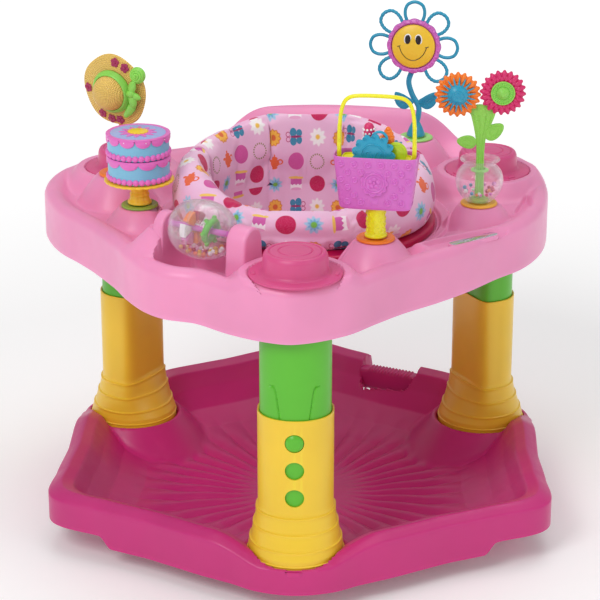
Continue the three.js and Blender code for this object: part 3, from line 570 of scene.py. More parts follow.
def shell(rows, keep, thick):
    """A closed sheet of the given thickness under a grid of points, open where faces are left out.
    The grid winds so that its normals point down into the wall."""
    n, m = rows.shape[:2]
    v = rows.reshape(-1, 3)
    index = np.arange(n * m).reshape(n, m)
    a, b = index[:-1], index[1:]
    quads = np.stack([a, np.roll(a, -1, 1), np.roll(b, -1, 1), b], -1)[keep]
    normals = np.zeros_like(v)
    p = v[quads]
    fn = np.cross(p[:, 2] - p[:, 0], p[:, 3] - p[:, 1])
    for k in range(4):
        np.add.at(normals, quads[:, k], fn)
    normals /= np.maximum(np.linalg.norm(normals, axis=1)[:, None], 1e-9)
    lower = v + normals * thick
    count = len(v)
    edges = {}
    for k in range(4):
        for e0, e1 in zip(quads[:, k].tolist(), quads[:, (k + 1) % 4].tolist()):
            if (e1, e0) in edges:
                del edges[(e1, e0)]
            else:
                edges[(e0, e1)] = True
    faces = [tuple(q) for q in quads.tolist()]
    faces += [tuple(count + i for i in reversed(q)) for q in quads.tolist()]
    faces += [(e1, e0, count + e0, count + e1) for e0, e1 in edges]
    used = np.zeros(2 * count, bool)
    used[quads.ravel()] = used[quads.ravel() + count] = True
    remap = np.cumsum(used) - 1
    return np.vstack([v, lower])[used], [tuple(int(remap[i]) for i in f) for f in faces]


def polar(radius, angles, height):
    """A row of grid points at angles in degrees."""
    a = np.radians(angles)
    return np.stack([radius * np.cos(a), radius * np.sin(a), height + 0 * a], -1)


# ------------------------------------------------------------------ base saucer

SAUCER_OUTLINE = [(0, 350), (8, 343), (14, 330), (22, 322), (30, 318), (38, 321), (49, 341), (60, 370)]
DISH = [(0.31, 0), (0.52, 0.07), (0.68, 0.2), (0.79, 0.4), (0.86, 0.68), (0.905, 0.93), (0.95, 1.0),
        (0.985, 0.95)]
DISH_FLOOR, PLEATS, ROUNDED = 4.0, 20, 0.955
COLLAR = {"top": 57.5, "radius": 67, "slope": 1.15, "seat_radius": 61.4, "seat_z": 50.0}
SAUCER_CURVE = periodic(SAUCER_OUTLINE + [(120 - a, r) for a, r in SAUCER_OUTLINE[-2:0:-1]], 120)
HANDLE = {"angle": 66, "outer": 308, "depth": 22, "length": 84, "slot_radius": 280, "slot": 26,
          "low": 42, "high": 74}


def from_leg(angle):
    """Plan angle measured from the nearest leg, from 0 to 60 degrees."""
    return np.abs(np.mod(angle + 90 + 60, 120) - 60)


def saucer_rim(angle):
    return 85 - 21 * (1 - smooth(4, 20, from_leg(angle)))


def handle_local(x, y):
    a = rad(HANDLE["angle"])
    return x * math.cos(a) + y * math.sin(a), -x * math.sin(a) + y * math.cos(a)


def saucer_height(x, y, angle, share):
    r = np.hypot(x, y)
    rise = np.interp(share, [p[0] for p in DISH], [p[1] for p in DISH])
    z = DISH_FLOOR + rise * (saucer_rim(angle) - DISH_FLOOR)
    # fan of pressed pleats, rounded on top with a crease between each two
    lobes = np.abs(np.sin(rad(1) * angle * PLEATS))
    window = smooth(40, 120, r) * (1 - smooth(0.48, 0.76, share))
    z = z + window * (5.2 * lobes - 0.1) * smooth(0.1, 0.45, share)
    # round the rim over
    over = np.clip((share - ROUNDED) / (1 - ROUNDED), 0, 1)
    z = z - 7.0 * (1 - np.sqrt(1 - over ** 2 * 0.96))
    # raised collar round each leg foot
    d = leg_distance(x, y)
    collar = COLLAR["top"] - COLLAR["slope"] * np.maximum(d - COLLAR["radius"],
                                                          0) - 2.5 * smooth(64.5, 61.6, d)
    z = soft_max(z, collar, 9)
    z = np.where(d < COLLAR["seat_radius"], COLLAR["seat_z"], z)
    # step down behind the carry handle
    u, v = handle_local(x, y)
    step = smooth(281.5, 288, u) * (1 - smooth(41, 45.5, np.abs(v)))
    return z * (1 - step) + np.minimum(z, 43.5) * step


def slot_distance(x, y):
    u, v = handle_local(x, y)
    half, r = HANDLE["length"] / 2 - HANDLE["slot"] / 2, HANDLE["slot"] / 2
    return np.hypot(u - HANDLE["slot_radius"], np.maximum(np.abs(v) - half, 0)) - r


def base_saucer():
    sectors, steps = ((900, 110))
    angles = np.arange(sectors) * 360 / sectors
    edge = SAUCER_CURVE(from_leg(angles))
    rows = []
    for share in np.concatenate([np.linspace(0.0003, 0.3, 12), np.linspace(0.32, ROUNDED, steps),
                                 ROUNDED + (1 - ROUNDED) * np.sin(np.linspace(0.15, math.pi / 2, 9))]):
        row = polar(share * edge, angles, 0)
        row[:, 2] = saucer_height(row[:, 0], row[:, 1], angles, share)
        rows.append(row)
    top = rows[-1][:, 2]
    bottom = 25 + 15 * smooth(45.5, 48.5, from_leg(angles))
    rows += [polar(edge, angles, top * (1 - k) + bottom * k) for k in np.linspace(0.12, 1, 8)]
    rows, keep = punch(np.array(rows), slot_distance)
    verts, faces = shell(rows, keep, 3.8)
    p = Part().put(verts, faces)
    h = HANDLE
    across = turn("Z", h["angle"])
    mid = (h["low"] + h["high"]) / 2
    section = filleted([(h["outer"] - h["depth"], h["low"]), (h["outer"], h["low"]),
                        (h["outer"], h["high"] - 3),
                        (h["outer"] - h["depth"], h["high"] - 3)], 5, 4, closed=True)
    ribs = np.linspace(-h["length"] / 2 - 3, h["length"] / 2 + 3, 181)
    bar = []
    for t in ribs:
        rib = 2.4 * (0.5 + 0.5 * math.cos(t * TAU / 5.2)) * float(smooth(34, 31, abs(t)))
        bar.append([(q[0], t, q[1] + rib * float(smooth(mid + 6, h["high"] - 3, q[1]))) for q in section])
    p.grid(bar, caps=True, at=across)
    return p.make("saucer_shell", BASE, "stand", "base_saucer", "base_plastic", shade=38)


# ------------------------------------------------------------------ legs

LEG = {"out": 40, "back": 28, "half": 47, "wall": 2.5, "foot": 60, "foot_z": 50.4, "top": 246}
FLARE = {50.4: 1.0, 66: 0.93, 82: 0.62, 100: 0.29, 122: 0.0}
BANDS = [(117, 1.9), (97, 1.7), (77, 1.5), (60, 1.0)]
HOLES = {"radius": 11.8, "heights": (217, 180.5, 144)}


def d_radius(angles, inset=0.0):
    c, s = np.cos(angles), np.sin(angles)
    out, back, half = LEG["out"] - inset, LEG["back"] - inset, LEG["half"] - inset
    front = 1 / np.hypot(c / out, s / half)
    rear = (np.abs(c / back) ** 5 + np.abs(s / half) ** 5) ** -0.2
    return np.where(c >= 0, front, rear)


def d_ring(z, inset=0.0, grow=0.0, swell=0.0, count=120):
    a = np.arange(count) * TAU / count
    r = d_radius(a, inset) * (1 - grow) + (LEG["foot"] - inset) * grow + swell
    return np.stack([r * np.cos(a), r * np.sin(a), np.full(count, z)], 1)


def flare(z):
    """How far the sleeve has widened from its D section to its round foot."""
    return float(np.interp(z, list(FLARE), list(FLARE.values())))


def band_swell(z):
    """Each stepped band round the foot is fullest just under its top edge."""
    swell = 0.0
    for (top, lift), low in zip(BANDS, [b[0] for b in BANDS[1:]] + [LEG["foot_z"]]):
        if low < z <= top:
            t = (top - z) / (top - low)
            swell = lift * (1 - t) * 0.55 + 0.9 * float(smooth(0.16, 0.02, t))
    return swell * float(smooth(LEG["foot_z"], 54, z))


def finish_leg(o, name, heights):
    """Bores the button holes and stands the leg in its place."""
    for z in heights:
        profile = [(0, 18), (HOLES["radius"], 18), (HOLES["radius"], 70), (0, 70)]
        cut(o, Part().lathe(profile, 48, move(0, 0, z) @ turn("Y", 90)))
    for step in (Matrix.Scale(1 / MM, 4), leg_matrix(name), Matrix.Scale(MM, 4)):
        o.data.transform(step)
    shade_smooth(o, 28)


def outer_leg(name):
    foot, top, wall = LEG["foot_z"], LEG["top"], LEG["wall"]
    outside = [*np.arange(foot, 57, 1.6), *np.arange(57, 122, 1.0), 122, 124, 128, 140, 170, 200,
               230, 243, 245.2]
    levels = [d_ring(z, 0, flare(z), band_swell(z)) for z in outside]
    levels += [d_ring(top, 0.4), d_ring(top, wall - 0.4), d_ring(top - 0.6, wall)]
    levels += [d_ring(z, wall, flare(z)) for z in (200, 150, 122, 110, 100, 90, 82, 74, 66, 60, foot)]
    p = Part().grid(levels, along=True)
    o = p.make(f"leg_sleeve_{name}", YELLOW, "stand", f"outer_leg_{name}", "yellow_plastic", shade=28)
    finish_leg(o, name, HOLES["heights"])


def inner_leg(name):
    p = Part()
    inset = LEG["wall"] + 0.5
    top, bottom = 397.6, 130.4
    grooves = [spline([(side * 13.4, 196), (side * 17.2, 236), (side * 23.6, 282), (side * 29.5, 287.5)], 60)
               for side in (1, -1)]
    zs = [bottom, bottom + 0.8, 170, *np.arange(190, 292, 1.0), 300, 340, top - 0.8, top]
    rows = []
    for z in zs:
        ring = d_ring(z, inset + (0.5 if z in (bottom, top) else 0), count=240)
        near = np.min([np.hypot(ring[:, 1, None] - s[None, :, 0], z - s[None, :, 1]).min(1)
                       for s in grooves], 0)
        dent = 1.6 * smooth(1.5, 0.5, near) * (ring[:, 0] > 0)
        ring[:, :2] *= (1 - dent / np.hypot(ring[:, 0], ring[:, 1]))[:, None]
        rows.append(ring)
    rows += [d_ring(z, inset + LEG["wall"], count=240) for z in zs[::-1]]
    p.grid(rows, along=True)
    o = p.make(f"leg_tube_{name}", GREEN, "columns", f"inner_leg_{name}", "green_plastic", shade=28)
    finish_leg(o, name, HOLES["heights"][:1])


def height_button(name):
    face = 43
    prof = filleted([(0, 22.2), (10.9, 22.2), (11.2, 25), (11.2, face - 3.2), (8.2, face - 1.4),
                     (7.4, face - 0.9), (0, face)],
                    [0, 0.5, 0.5, 1.4, 1.2, 0.8, 0], 4)
    p = Part().lathe(prof, 48, leg_matrix(name) @ move(0, 0, HOLES["heights"][0]) @ turn("Y", 90))
    p.make(f"leg_button_{name}", GREEN, f"button_{name}", f"height_button_{name}", "green_plastic")


def bounce_spring(name):
    low, high = box_mm(f"bounce_spring_{name}")
    a = np.linspace(0, 4.5 * TAU, 200)
    z = np.linspace(low[2] + 2, high[2] - 2, len(a))
    pts = np.stack([5 + 15.5 * np.cos(a), 15.5 * np.sin(a), z], 1)
    p = Part().tube(pts, 1.5, 8, at=leg_matrix(name))
    o = p.make(f"leg_spring_{name}", STEEL, "columns", f"bounce_spring_{name}", "spring_steel")
    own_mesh(o)


def leg_cap(name):
    base, top = 420.5, 451.0
    prof = [(0, top - 3), (34, top - 3), (36.5, base), (56.8, base), (56.8, base + 2.6), (43.5, base + 3.6),
            (40.3, base + 6.5), (39.0, top - 5.5), (36.4, top - 1.2), (33.0, top - 0.9), (31.8, top - 2.6),
            (30.6, top - 1.2), (21.6, top - 0.4), (20.4,
                                                   top - 2.0), (19.2, top - 0.4), (8, top - 0.1), (0, top)]
    size = [0, 1, 1, 0.6, 1.2, 1.5, 3, 3, 1.6, 0.8, 0.7, 0.8, 0.8, 0.7, 0.8, 2, 0]
    p = Part().lathe(filleted(prof, size, 3), 96, leg_matrix(name))
    for a in (83, -83, 180):
        p.slab(plate(5.5, 2.2, 1.5, 3), base + 1.2, base + 4.4, 0.8, leg_matrix(name) @ turn("Z", a)
               @ move(50.5, 0, 0) @ turn("Z", 90))
    p.make(f"leg_dome_{name}", CAP, "tray", f"leg_cap_{name}", "cap_plastic")


# ------------------------------------------------------------------ play tray

TRAY_OUTLINE = [
    (0, 312), (12, 332), (24, 356), (36, 380), (46,
                                                382), (56,
                                                       368), (70, 348), (90, 338), (110, 330), (125, 325),
    (140, 350), (150, 372), (158, 374), (167,
                                         362), (175, 342), (183, 320), (191, 296), (200, 281), (212, 277),
    (222, 287), (232, 300), (238, 303), (246,
                                         297), (256, 316), (264, 331), (270, 336), (281, 312), (290, 282),
    (300, 262), (312, 256), (325, 258), (338, 268), (348, 290)]
TRAY_CURVE = periodic(TRAY_OUTLINE, 360)
OPENING, WALK, RIM, SKIRT = 177.0, 401.0, 415.0, 350.0
SHOULDER = {"top": 423.2, "radius": 68, "slope": 0.9, "seat_radius": 58.3, "seat_z": 419.9}
MOUND = {"out": 62, "top": 441, "radius": 12}
GLOBE_POCKET = {"half_u": 46, "half_v": 42.5, "corner": 10, "floor": 378}
HOLLOW = {"shelf": 414.5, "floor": 408.8}
TOYS = ("hat", "cake", "purse", "sunflower", "vase")
SOCKET_AT = {n: [c / MM for c in JOINTS[f"{n}_turn"]["pos_m"]] for n in TOYS}
GLOBE = {"at": [c / MM for c in JOINTS["globe_spin"]["pos_m"]], "yaw": -30, "half": 42, "radius": 37}
MIRROR_AT = {"x": 218, "y": -122, "yaw": 38, "length": 78, "width": 15}


def globe_local(x, y):
    a = rad(GLOBE["yaw"])
    dx, dy = x - GLOBE["at"][0], y - GLOBE["at"][1]
    return dx * math.cos(a) + dy * math.sin(a), -dx * math.sin(a) + dy * math.cos(a)


def teardrop(x, y, cx, cy, yaw, length, width):
    """Signed distance to a leaf-shaped hollow, pointed at its far end."""
    a = rad(yaw)
    u = (x - cx) * math.cos(a) + (y - cy) * math.sin(a)
    v = -(x - cx) * math.sin(a) + (y - cy) * math.cos(a)
    t = np.clip(u / length + 0.5, 0, 1)
    half = width / 2 * np.sqrt(np.maximum(1 - (2 * t - 0.75) ** 2 / 1.6, 0.02)) * (1 - 0.55 * t)
    return np.maximum(np.abs(v) - half, np.abs(u) - length / 2)


def tray_height(x, y):
    r = np.hypot(x, y)
    edge = TRAY_CURVE(np.degrees(np.arctan2(y, x)))
    inward = edge - r
    # a hump along the back edge, behind the seat
    hump = 46 * smooth(-205, -60, x) * (1 - smooth(150, 290, x)) * smooth(250, 322, y)
    z = WALK + (RIM - WALK) * smooth(44, 14, inward)
    z = soft_max(z, WALK + hump + (RIM - WALK) * smooth(20, 90, hump * 2), 10)
    # shoulders that carry the leg domes, level with the domes' flanges
    d = leg_distance(x, y)
    z = soft_max(z, SHOULDER["top"] - SHOULDER["slope"] * np.maximum(d - SHOULDER["radius"], 0), 9)
    # cones under the toy sockets
    for sx, sy, sz in SOCKET_AT.values():
        past = np.maximum(np.hypot(x - sx, y - sy) - 26.5, 0)
        z = soft_max(z, sz - 1.05 * past - 0.012 * past ** 2, 7)
    # mound that carries the globe's outer end
    u, v = globe_local(x, y)
    ridge = np.hypot(u + MOUND["out"], np.maximum(np.abs(v - 2) - 8, 0))
    z = soft_max(z, MOUND["top"] - np.maximum(ridge - MOUND["radius"], 0), 8)
    # rolled lip round the seat
    z = z - 9 * smooth(OPENING + 34, OPENING + 4, r) * (1 - smooth(440, 460, z))
    z = z + 5 * smooth(9, 4, np.abs(r - OPENING - 9))
    # pocket for the tumbling globe
    past_u, past_v = np.abs(u) - GLOBE_POCKET["half_u"], np.abs(v) - GLOBE_POCKET["half_v"]
    turned = GLOBE_POCKET["corner"]
    corner = np.hypot(np.maximum(past_u + turned, 0), np.maximum(past_v + turned, 0)) - turned
    pocket = np.where((past_u > -turned) & (past_v > -turned), corner, np.maximum(past_u, past_v))
    z = z + (GLOBE_POCKET["floor"] - z) * smooth(2.5, -2.5, pocket)
    # moulded hollows: mirror, small leaf and pin mark
    leaf = teardrop(x, y, 212, -120, MIRROR_AT["yaw"], 128, 34)
    z = z + np.maximum(HOLLOW["shelf"] - z, 0) * smooth(18, 3, leaf)
    z = z + (HOLLOW["floor"] - z) * smooth(1.5, -2.5, leaf)
    z = z - 5.5 * smooth(2.5, -3.5, teardrop(x, y, 292, 40, 82, 62, 24))
    z = z - 2.0 * smooth(2.6, 1.0, np.hypot(x + 260.5, y + 63))
    # shallow seat for each dome's flange
    z = np.where(d < SHOULDER["seat_radius"], np.minimum(z, SHOULDER["seat_z"]), z)
    # the edge rolls over into the skirt
    roll = 13.0
    t = np.clip((roll - inward) / roll, 0, 1)
    return z - roll * (1 - np.sqrt(np.maximum(1 - t * t * 0.985, 0)))


def holes_in_tray(x, y):
    """Signed distance to the leg wells and the socket bores."""
    best = np.full(np.shape(x), 1e3)
    for name in LEG_ANGLES:
        inv = leg_matrix(name).inverted()
        lx = inv[0][0] * x + inv[0][1] * y + inv[0][3]
        ly = inv[1][0] * x + inv[1][1] * y + inv[1][3]
        ang = np.arctan2(ly, lx)
        best = np.minimum(best, np.hypot(lx, ly) - d_radius(ang, -1.5))
    for sx, sy, _ in SOCKET_AT.values():
        best = np.minimum(best, np.hypot(x - sx, y - sy) - 11.9)
    return best


def play_tray():
    sectors, steps = ((900, 140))
    angles = np.arange(sectors) * 360 / sectors
    edge = TRAY_CURVE(angles)
    lip = ((161.5, 390.6), (166, 391.6), (172, 391.9), (174.6, 392.6), (175.8, 393.8))
    rows = [polar(r, angles, z) for r, z in lip]
    for t in [*np.linspace(0, 0.93, steps), *(0.93 + 0.07 * np.sin(np.linspace(0.12, math.pi / 2, 12)))]:
        row = polar(OPENING + t * (edge - OPENING), angles, 0)
        row[:, 2] = tray_height(row[:, 0], row[:, 1])
        rows.append(row)
    top = rows[-1][:, 2]
    rows += [polar(edge, angles, top * (1 - k) + SKIRT * k) for k in np.linspace(0.1, 1, 9)]
    rows, keep = punch(np.array(rows), holes_in_tray)
    rows[:, :, 2] = np.maximum(rows[:, :, 2], SKIRT)
    verts, faces = shell(rows, keep, 3.2)
    p = Part().put(verts, faces)
    # sleeves round the legs under the tray
    for name in LEG_ANGLES:
        sleeve = [d_ring(z, inset, count=96) for z,
                  inset in ((352.4, -1.4), (417.8, -1.4), (417.8, 2.15), (352.4, 2.15))]
        p.grid(sleeve, along=True, at=leg_matrix(name))
    p.make("tray_shell", [TRAY, POCKET_SHADE], "tray", "play_tray", "tray_plastic", shade=40)


def globe_brackets():
    """Two arched uprights in the globe pocket, thick at the foot and rounded at the top."""
    p = Part()
    half, gz = GLOBE["half"], GLOBE["at"][2]
    at = move(*GLOBE["at"]) @ turn("Z", GLOBE["yaw"])
    for side, thick in ((1, 28.5), (-1, 15.0)):
        arch = [(19.8 * math.cos(math.pi * k / 24), 19.8 * math.sin(math.pi * k / 24) - 5)
                for k in range(25)]
        foot = 386 - gz
        outline = arch + [(-21.5, -30), (-25.5, foot), (25.5, foot), (21.5, -30)]
        near = half + 4.2 if side > 0 else -(half + 4.2) - thick
        face = at @ move(near, 0, 0) @ turn("Z", 90) @ turn("X", 90)
        p.slab(outline, 0, thick, 4.2 if side > 0 else 3.0, face, steps=5)
    p.make("globe_brackets", TRAY, "tray", (), "tray_plastic", shade=40)


def tray_mirror():
    low = box_mm("tray_mirror")[0]
    at = move(MIRROR_AT["x"], MIRROR_AT["y"], 0) @ turn("Z", MIRROR_AT["yaw"])
    length, width = MIRROR_AT["length"], MIRROR_AT["width"]
    p = Part()
    p.slab(stadium(length, width), low[2] - 5, low[2] + 0.6, 0.8, at, 0)
    p.slab(stadium(length - 3, width - 3), low[2] + 0.2, low[2] + 1.3, 0.3, at, 1)
    p.make("tray_mirror_insert", [TRAY, MIRROR], "tray", "tray_mirror", "mirror_sheet")


SOCKET_LOOK = {"hat": (ORANGE, "orange_plastic"), "cake": (MOSS, "moss_plastic"),
               "purse": (ORANGE, "orange_plastic"),
               "sunflower": (MINT, "green_plastic"), "vase": (AMBER, "orange_plastic")}


def toy_socket(name):
    """A ring pressed into the tray: a broad flange with raised keys and a dark bore for the toy's peg."""
    at = move(*SOCKET_AT[name])
    prof = [(6.2, -13.8), (11.4, -13.8), (11.4, 0.5), (23.9, 0.5), (23.9, 2.6), (21.8, 3.9),
            (14.4, 3.2), (13.2, 1.8),
            (9.4, 1.8), (8.4, 3.8), (6.2, 3.8)]
    p = Part().hoop(filleted(prof, 0.6, 2, closed=True), 72, at)
    for k in range(4):
        p.slab(plate(3.2, 2.2, 1, 2), 2.4, 4.0, 0.5, at @ turn("Z", 45 + 90 * k) @ move(18.4, 0, 0)
               @ turn("Z", 90))
    look, slot = SOCKET_LOOK[name]
    p.make(f"socket_ring_{name}", look, "tray", f"toy_socket_{name}", slot)


# ------------------------------------------------------------------ swivel seat frame

def seat_ring():
    prof = [(148, 374.2), (156, 374.2), (156, 392.5), (173, 392.5), (173, 400), (170, 402),
            (160, 401.2), (152, 402),
            (148, 402)]
    p = Part().hoop(filleted(prof, 1.2, 3, closed=True), 180)
    p.make("seat_swivel_ring", CRIMSON, "seat", "seat_ring", "crimson_plastic")


# ------------------------------------------------------------------ stage, light and camera

def stage():
    mesh = bpy.data.meshes.new("floor")
    half = 30
    mesh.from_pydata([(-half, -half, 0), (half, -half, 0), (half, half, 0), (-half, half, 0)], [],
                     [(0, 1, 2, 3)])
    floor = bpy.data.objects.new("floor", mesh)
    bpy.context.scene.collection.objects.link(floor)
    sh = Shade("floor_paper")
    sh.set(color=(0.97, 0.97, 0.97, 1), rough=0.9)
    surface = sh.mat.node_tree.nodes["Principled BSDF"].inputs
    # painted light: the floor glows, faintly near the toy and more strongly from 0.8 m out, so that it reads
    # white far off
    surface["Emission Color"].default_value = (1, 1, 1, 1)
    far = sh.node("ShaderNodeVectorMath", {0: sh.where}, "Value", operation="LENGTH")
    sh.feed(surface["Emission Strength"], sh.ramp(far, 0.8, 2.6, 0.1, 0.52))
    mesh.materials.append(sh.mat)
    world = bpy.data.worlds.new("studio")
    bpy.context.scene.world = world
    world.use_nodes = True
    world.node_tree.nodes["Background"].inputs["Color"].default_value = (1, 1, 1, 1)
    world.node_tree.nodes["Background"].inputs["Strength"].default_value = 0.45
    bpy.context.scene.view_settings.view_transform = "Standard"


def aim(o, target):
    o.rotation_euler = (Vector(target) - o.location).to_track_quat("-Z", "Y").to_euler()


def light(name, at, target, size, power):
    data = bpy.data.lights.new(name, "AREA")
    data.shape = "RECTANGLE"
    data.size = data.size_y = size
    data.energy = power
    o = bpy.data.objects.new(name, data)
    bpy.context.scene.collection.objects.link(o)
    o.location = at
    aim(o, target)


def camera():
    data = bpy.data.cameras.new("camera")
    data.lens, data.sensor_width = 133.5, 36
    data.clip_start, data.clip_end = 0.1, 100
    o = bpy.data.objects.new("camera", data)
    bpy.context.scene.collection.objects.link(o)
    o.location = (0.0924, -2.7774, 1.3147)
    aim(o, (-0.00458, -0.00016, 0.28177))
    bpy.context.scene.camera = o


# ------------------------------------------------------------------ sun hat

PEG = [(0, -10.8), (5.4, -10.8), (5.4, 4.5)]


def toy_frame(name, yaw=0.0):
    """Origin of a toy: the middle of its socket's top."""
    return move(*SOCKET_AT[name]) @ turn("Z", yaw)


def blossom(p, at, size, thick=2.2):
    """A small five-petal flower with a button in the middle."""
    for spot in circle(size * 0.55, 5, thick * 0.45):
        p.ball(spot, (size * 0.42, size * 0.42, thick * 0.6), 12, at)
    p.ball((0, 0, thick * 0.9), (size * 0.26, size * 0.26, thick * 0.5), 12, at)


def straw(name, color):
    """Moulded straw: rows of raised stitches round the crown, running outwards on the brim."""
    s = Shade(name)
    sep = s.tree.nodes.new("ShaderNodeSeparateXYZ")
    uv = s.node("ShaderNodeUVMap", uv_map="weave")
    s.feed(sep.inputs[0], uv)
    u = s.sin(s.mul(sep.outputs[0], TAU))
    v = s.sin(s.mul(sep.outputs[1], TAU))
    bead = s.mul(s.abs(u), s.abs(v))
    # painted shade and highlight: the colour is darker between the stitches and paler on their raised tops
    base = s.mix(s.ramp(bead, 0.02, 0.4), tone(color, 0.68), tone(color, 1.12))
    faded = s.mix(s.ramp(s.noise(40.0), 0.35, 0.7, 0, 0.35), base, tone(color, 0.85))
    s.set(color=faded, rough=0.5, normal=s.bump(bead, 0.9, 0.0012), coat=0.1)
    return s.mat


STRAW = straw("straw_plastic", srgb(255, 204, 104))


def add_uv(o, name, uv_of):
    """Writes a UV map from a function of each vertex position in millimetres."""
    layer = o.data.uv_layers.new(name=name)
    co = np.array([v.co for v in o.data.vertices]) / MM
    uv = uv_of(co)
    loops = np.zeros(len(o.data.loops), np.int32)
    o.data.loops.foreach_get("vertex_index", loops)
    layer.data.foreach_set("uv", uv[loops].astype(np.float32).ravel())


HAT = {"yaw": -18, "centre": (-2.5, -3, 113.5), "nod": 96, "turn": -10.5}


def sun_hat():
    toy = toy_frame("hat", HAT["yaw"])
    head = toy @ move(*HAT["centre"]) @ turn("X", HAT["nod"]) @ turn("Y", HAT["turn"])
    stem = Part()
    stem.lathe(filleted(PEG + [(12, 4.5), (12, 11), (6, 16), (0, 16)], 1, 3), 40, toy)
    stem.tube(spline([(0, 0, 10), (1, 7, 34), (1, 18, 60), (0, 19, 80), (-2, 13, 102), (-3, 6, 113.5)], 40),
              4.4, 20, at=toy)
    stem.lathe([(0, -10), (8, -10), (8, -2.5), (0, -2.5)], 32, head)
    stem.make("hat_post", ORANGE, "hat", "hat_stem", "orange_plastic")

    def wave(a, r, z):
        """The brim is wavy at its edge."""
        return 0.9 * np.sin(5 * a) * float(smooth(36, 47, r))
    prof = [(0, -2), (18, -2.1), (21, -4.4), (33, -5.6), (46, -8.2), (48.2, -8.4), (49.2, -7.4),
            (47.5, -6.0), (34, -2.6), (26, -0.8),
            (24.2, 0.6), (23.8, 4), (23, 9), (21, 14.5), (17.5, 19.5), (12.5, 23.3), (6.5, 25.3), (0, 26)]
    hat = Part().lathe(filleted(prof, [0] + [1.5] * 16 + [0], 2), 160, None, 0, wave)
    o = hat.make("straw_hat", STRAW, "hat", "sun_hat", "straw_plastic", at=head, shade=50)
    inv = np.array(head.inverted())

    def weave(co):
        q = co @ inv[:3, :3].T + inv[:3, 3]
        r, a = np.hypot(q[:, 0], q[:, 1]), np.arctan2(q[:, 1], q[:, 0])
        crown = (r < 25) & (q[:, 2] > -1.5)
        u = np.where(crown, q[:, 0] / 4.4, a * 48 / TAU)
        v = np.where(crown, (q[:, 1] + 0.25 * q[:, 2]) / 4.4, r / 5.2)
        return np.stack([u, v], 1)
    add_uv(o, "weave", weave)
    ribbon = Part()
    ribbon.hoop(filleted([(24.4, 0.2), (29.6, -0.9), (29, 2.4), (25.6, 7.2), (23.8, 8)], 1.2, 3,
                         closed=True), 96, head)
    # spiral rose, bow loops and a tail at the right of the brim
    knot = head @ move(34, 4, 3)
    rose = head @ move(42.7, 28.8, -1) @ turn("Y", 8) @ turn("X", -8)
    ribbon.ball((0, 0, 0.5), (11.2, 11.2, 6.4), 28, rose)
    ribbon.tube(spiral(64, 8.8, -8.8 / 70, 0.27, 4.0, 0.055), 1.7, 10, at=rose)
    ribbon.ball((0, 0, 2.5), (6.5, 5.2, 4.6), 20, knot)
    for dx, dy, yaw, sx, sy in ((0, 10, 70, 10, 5.6), (1, -11, -80, 10.5, 6.2), (8, -4, -20, 8, 4.6)):
        ribbon.ball((sx * 0.6, 0, 0), (sx, sy, 3.4), 20, knot @ move(dx * 0.3, dy * 0.3, 1.5)
                    @ turn("Z", yaw))
    tail_widths = [5, 5.4, 4.4, 3.6, 3.4, 3.6, 4.2, 5, 5.6, 6, 6.2, 6, 5.8, 5.6, 5.4, 5, 4.6, 4.2, 4, 3.6]
    tail = spline([(34, -4, 3), (33, -13, 1), (27, -22, 0), (20, -30, 0)], len(tail_widths))
    ribbon.tube(tail, tail_widths, 14, at=head, flat=0.5)
    ribbon.make("hat_ribbon_bow", LEAF, "hat", "hat_ribbon", "green_plastic")
    flowers = Part()
    for a in (82, 59, 182, 240, 262, 281):
        blossom(flowers, head @ turn("Z", a) @ move(40, 0, -4.3) @ turn("Y", 10), 7.0)
    flowers.make("hat_flowers", WINE, "hat", (), "magenta_plastic")


# ------------------------------------------------------------------ cake

def piping(p, radius, z, count, size, at, mat):
    """A row of piped shells round a tier, each touching the next."""
    for k in range(count):
        p.ball((0, 0, 0), (size * 0.66, size * 0.98, size), 14, at @ turn("Z", 360 * k / count)
               @ move(radius, 0, z), mat)


def swags(p, radius, top, count, at, mat, phase, drop=8.0, thick=1.7):
    """A scalloped curtain of icing hanging from the top edge of a tier."""
    n = count * 14
    a = np.arange(n) * TAU / n
    hang = np.sqrt(np.maximum(1 - (2 * np.mod(a * count / TAU + phase, 1) - 1) ** 2, 0))
    low = top - 2.2 - drop * hang
    level = np.full(n, top)
    section = [(-0.8, low + 0.8), (thick * 0.6, low), (thick, low + 1.2), (thick, level - 2),
               (thick * 0.5, level),
               (-0.8, level + 0.2)]
    rows = [np.stack([(radius + out) * np.cos(a), (radius + out) * np.sin(a), z], 1) for out, z in section]
    p.grid(rows, along=True, at=at, mat=mat)


def waved(radius, wave, count, points):
    """A flower outline: a circle whose radius rises and falls count times."""
    angles = np.arange(points) * TAU / points
    return [((radius + wave * math.cos(count * t)) * math.cos(t),
             (radius + wave * math.cos(count * t)) * math.sin(t))
            for t in angles]


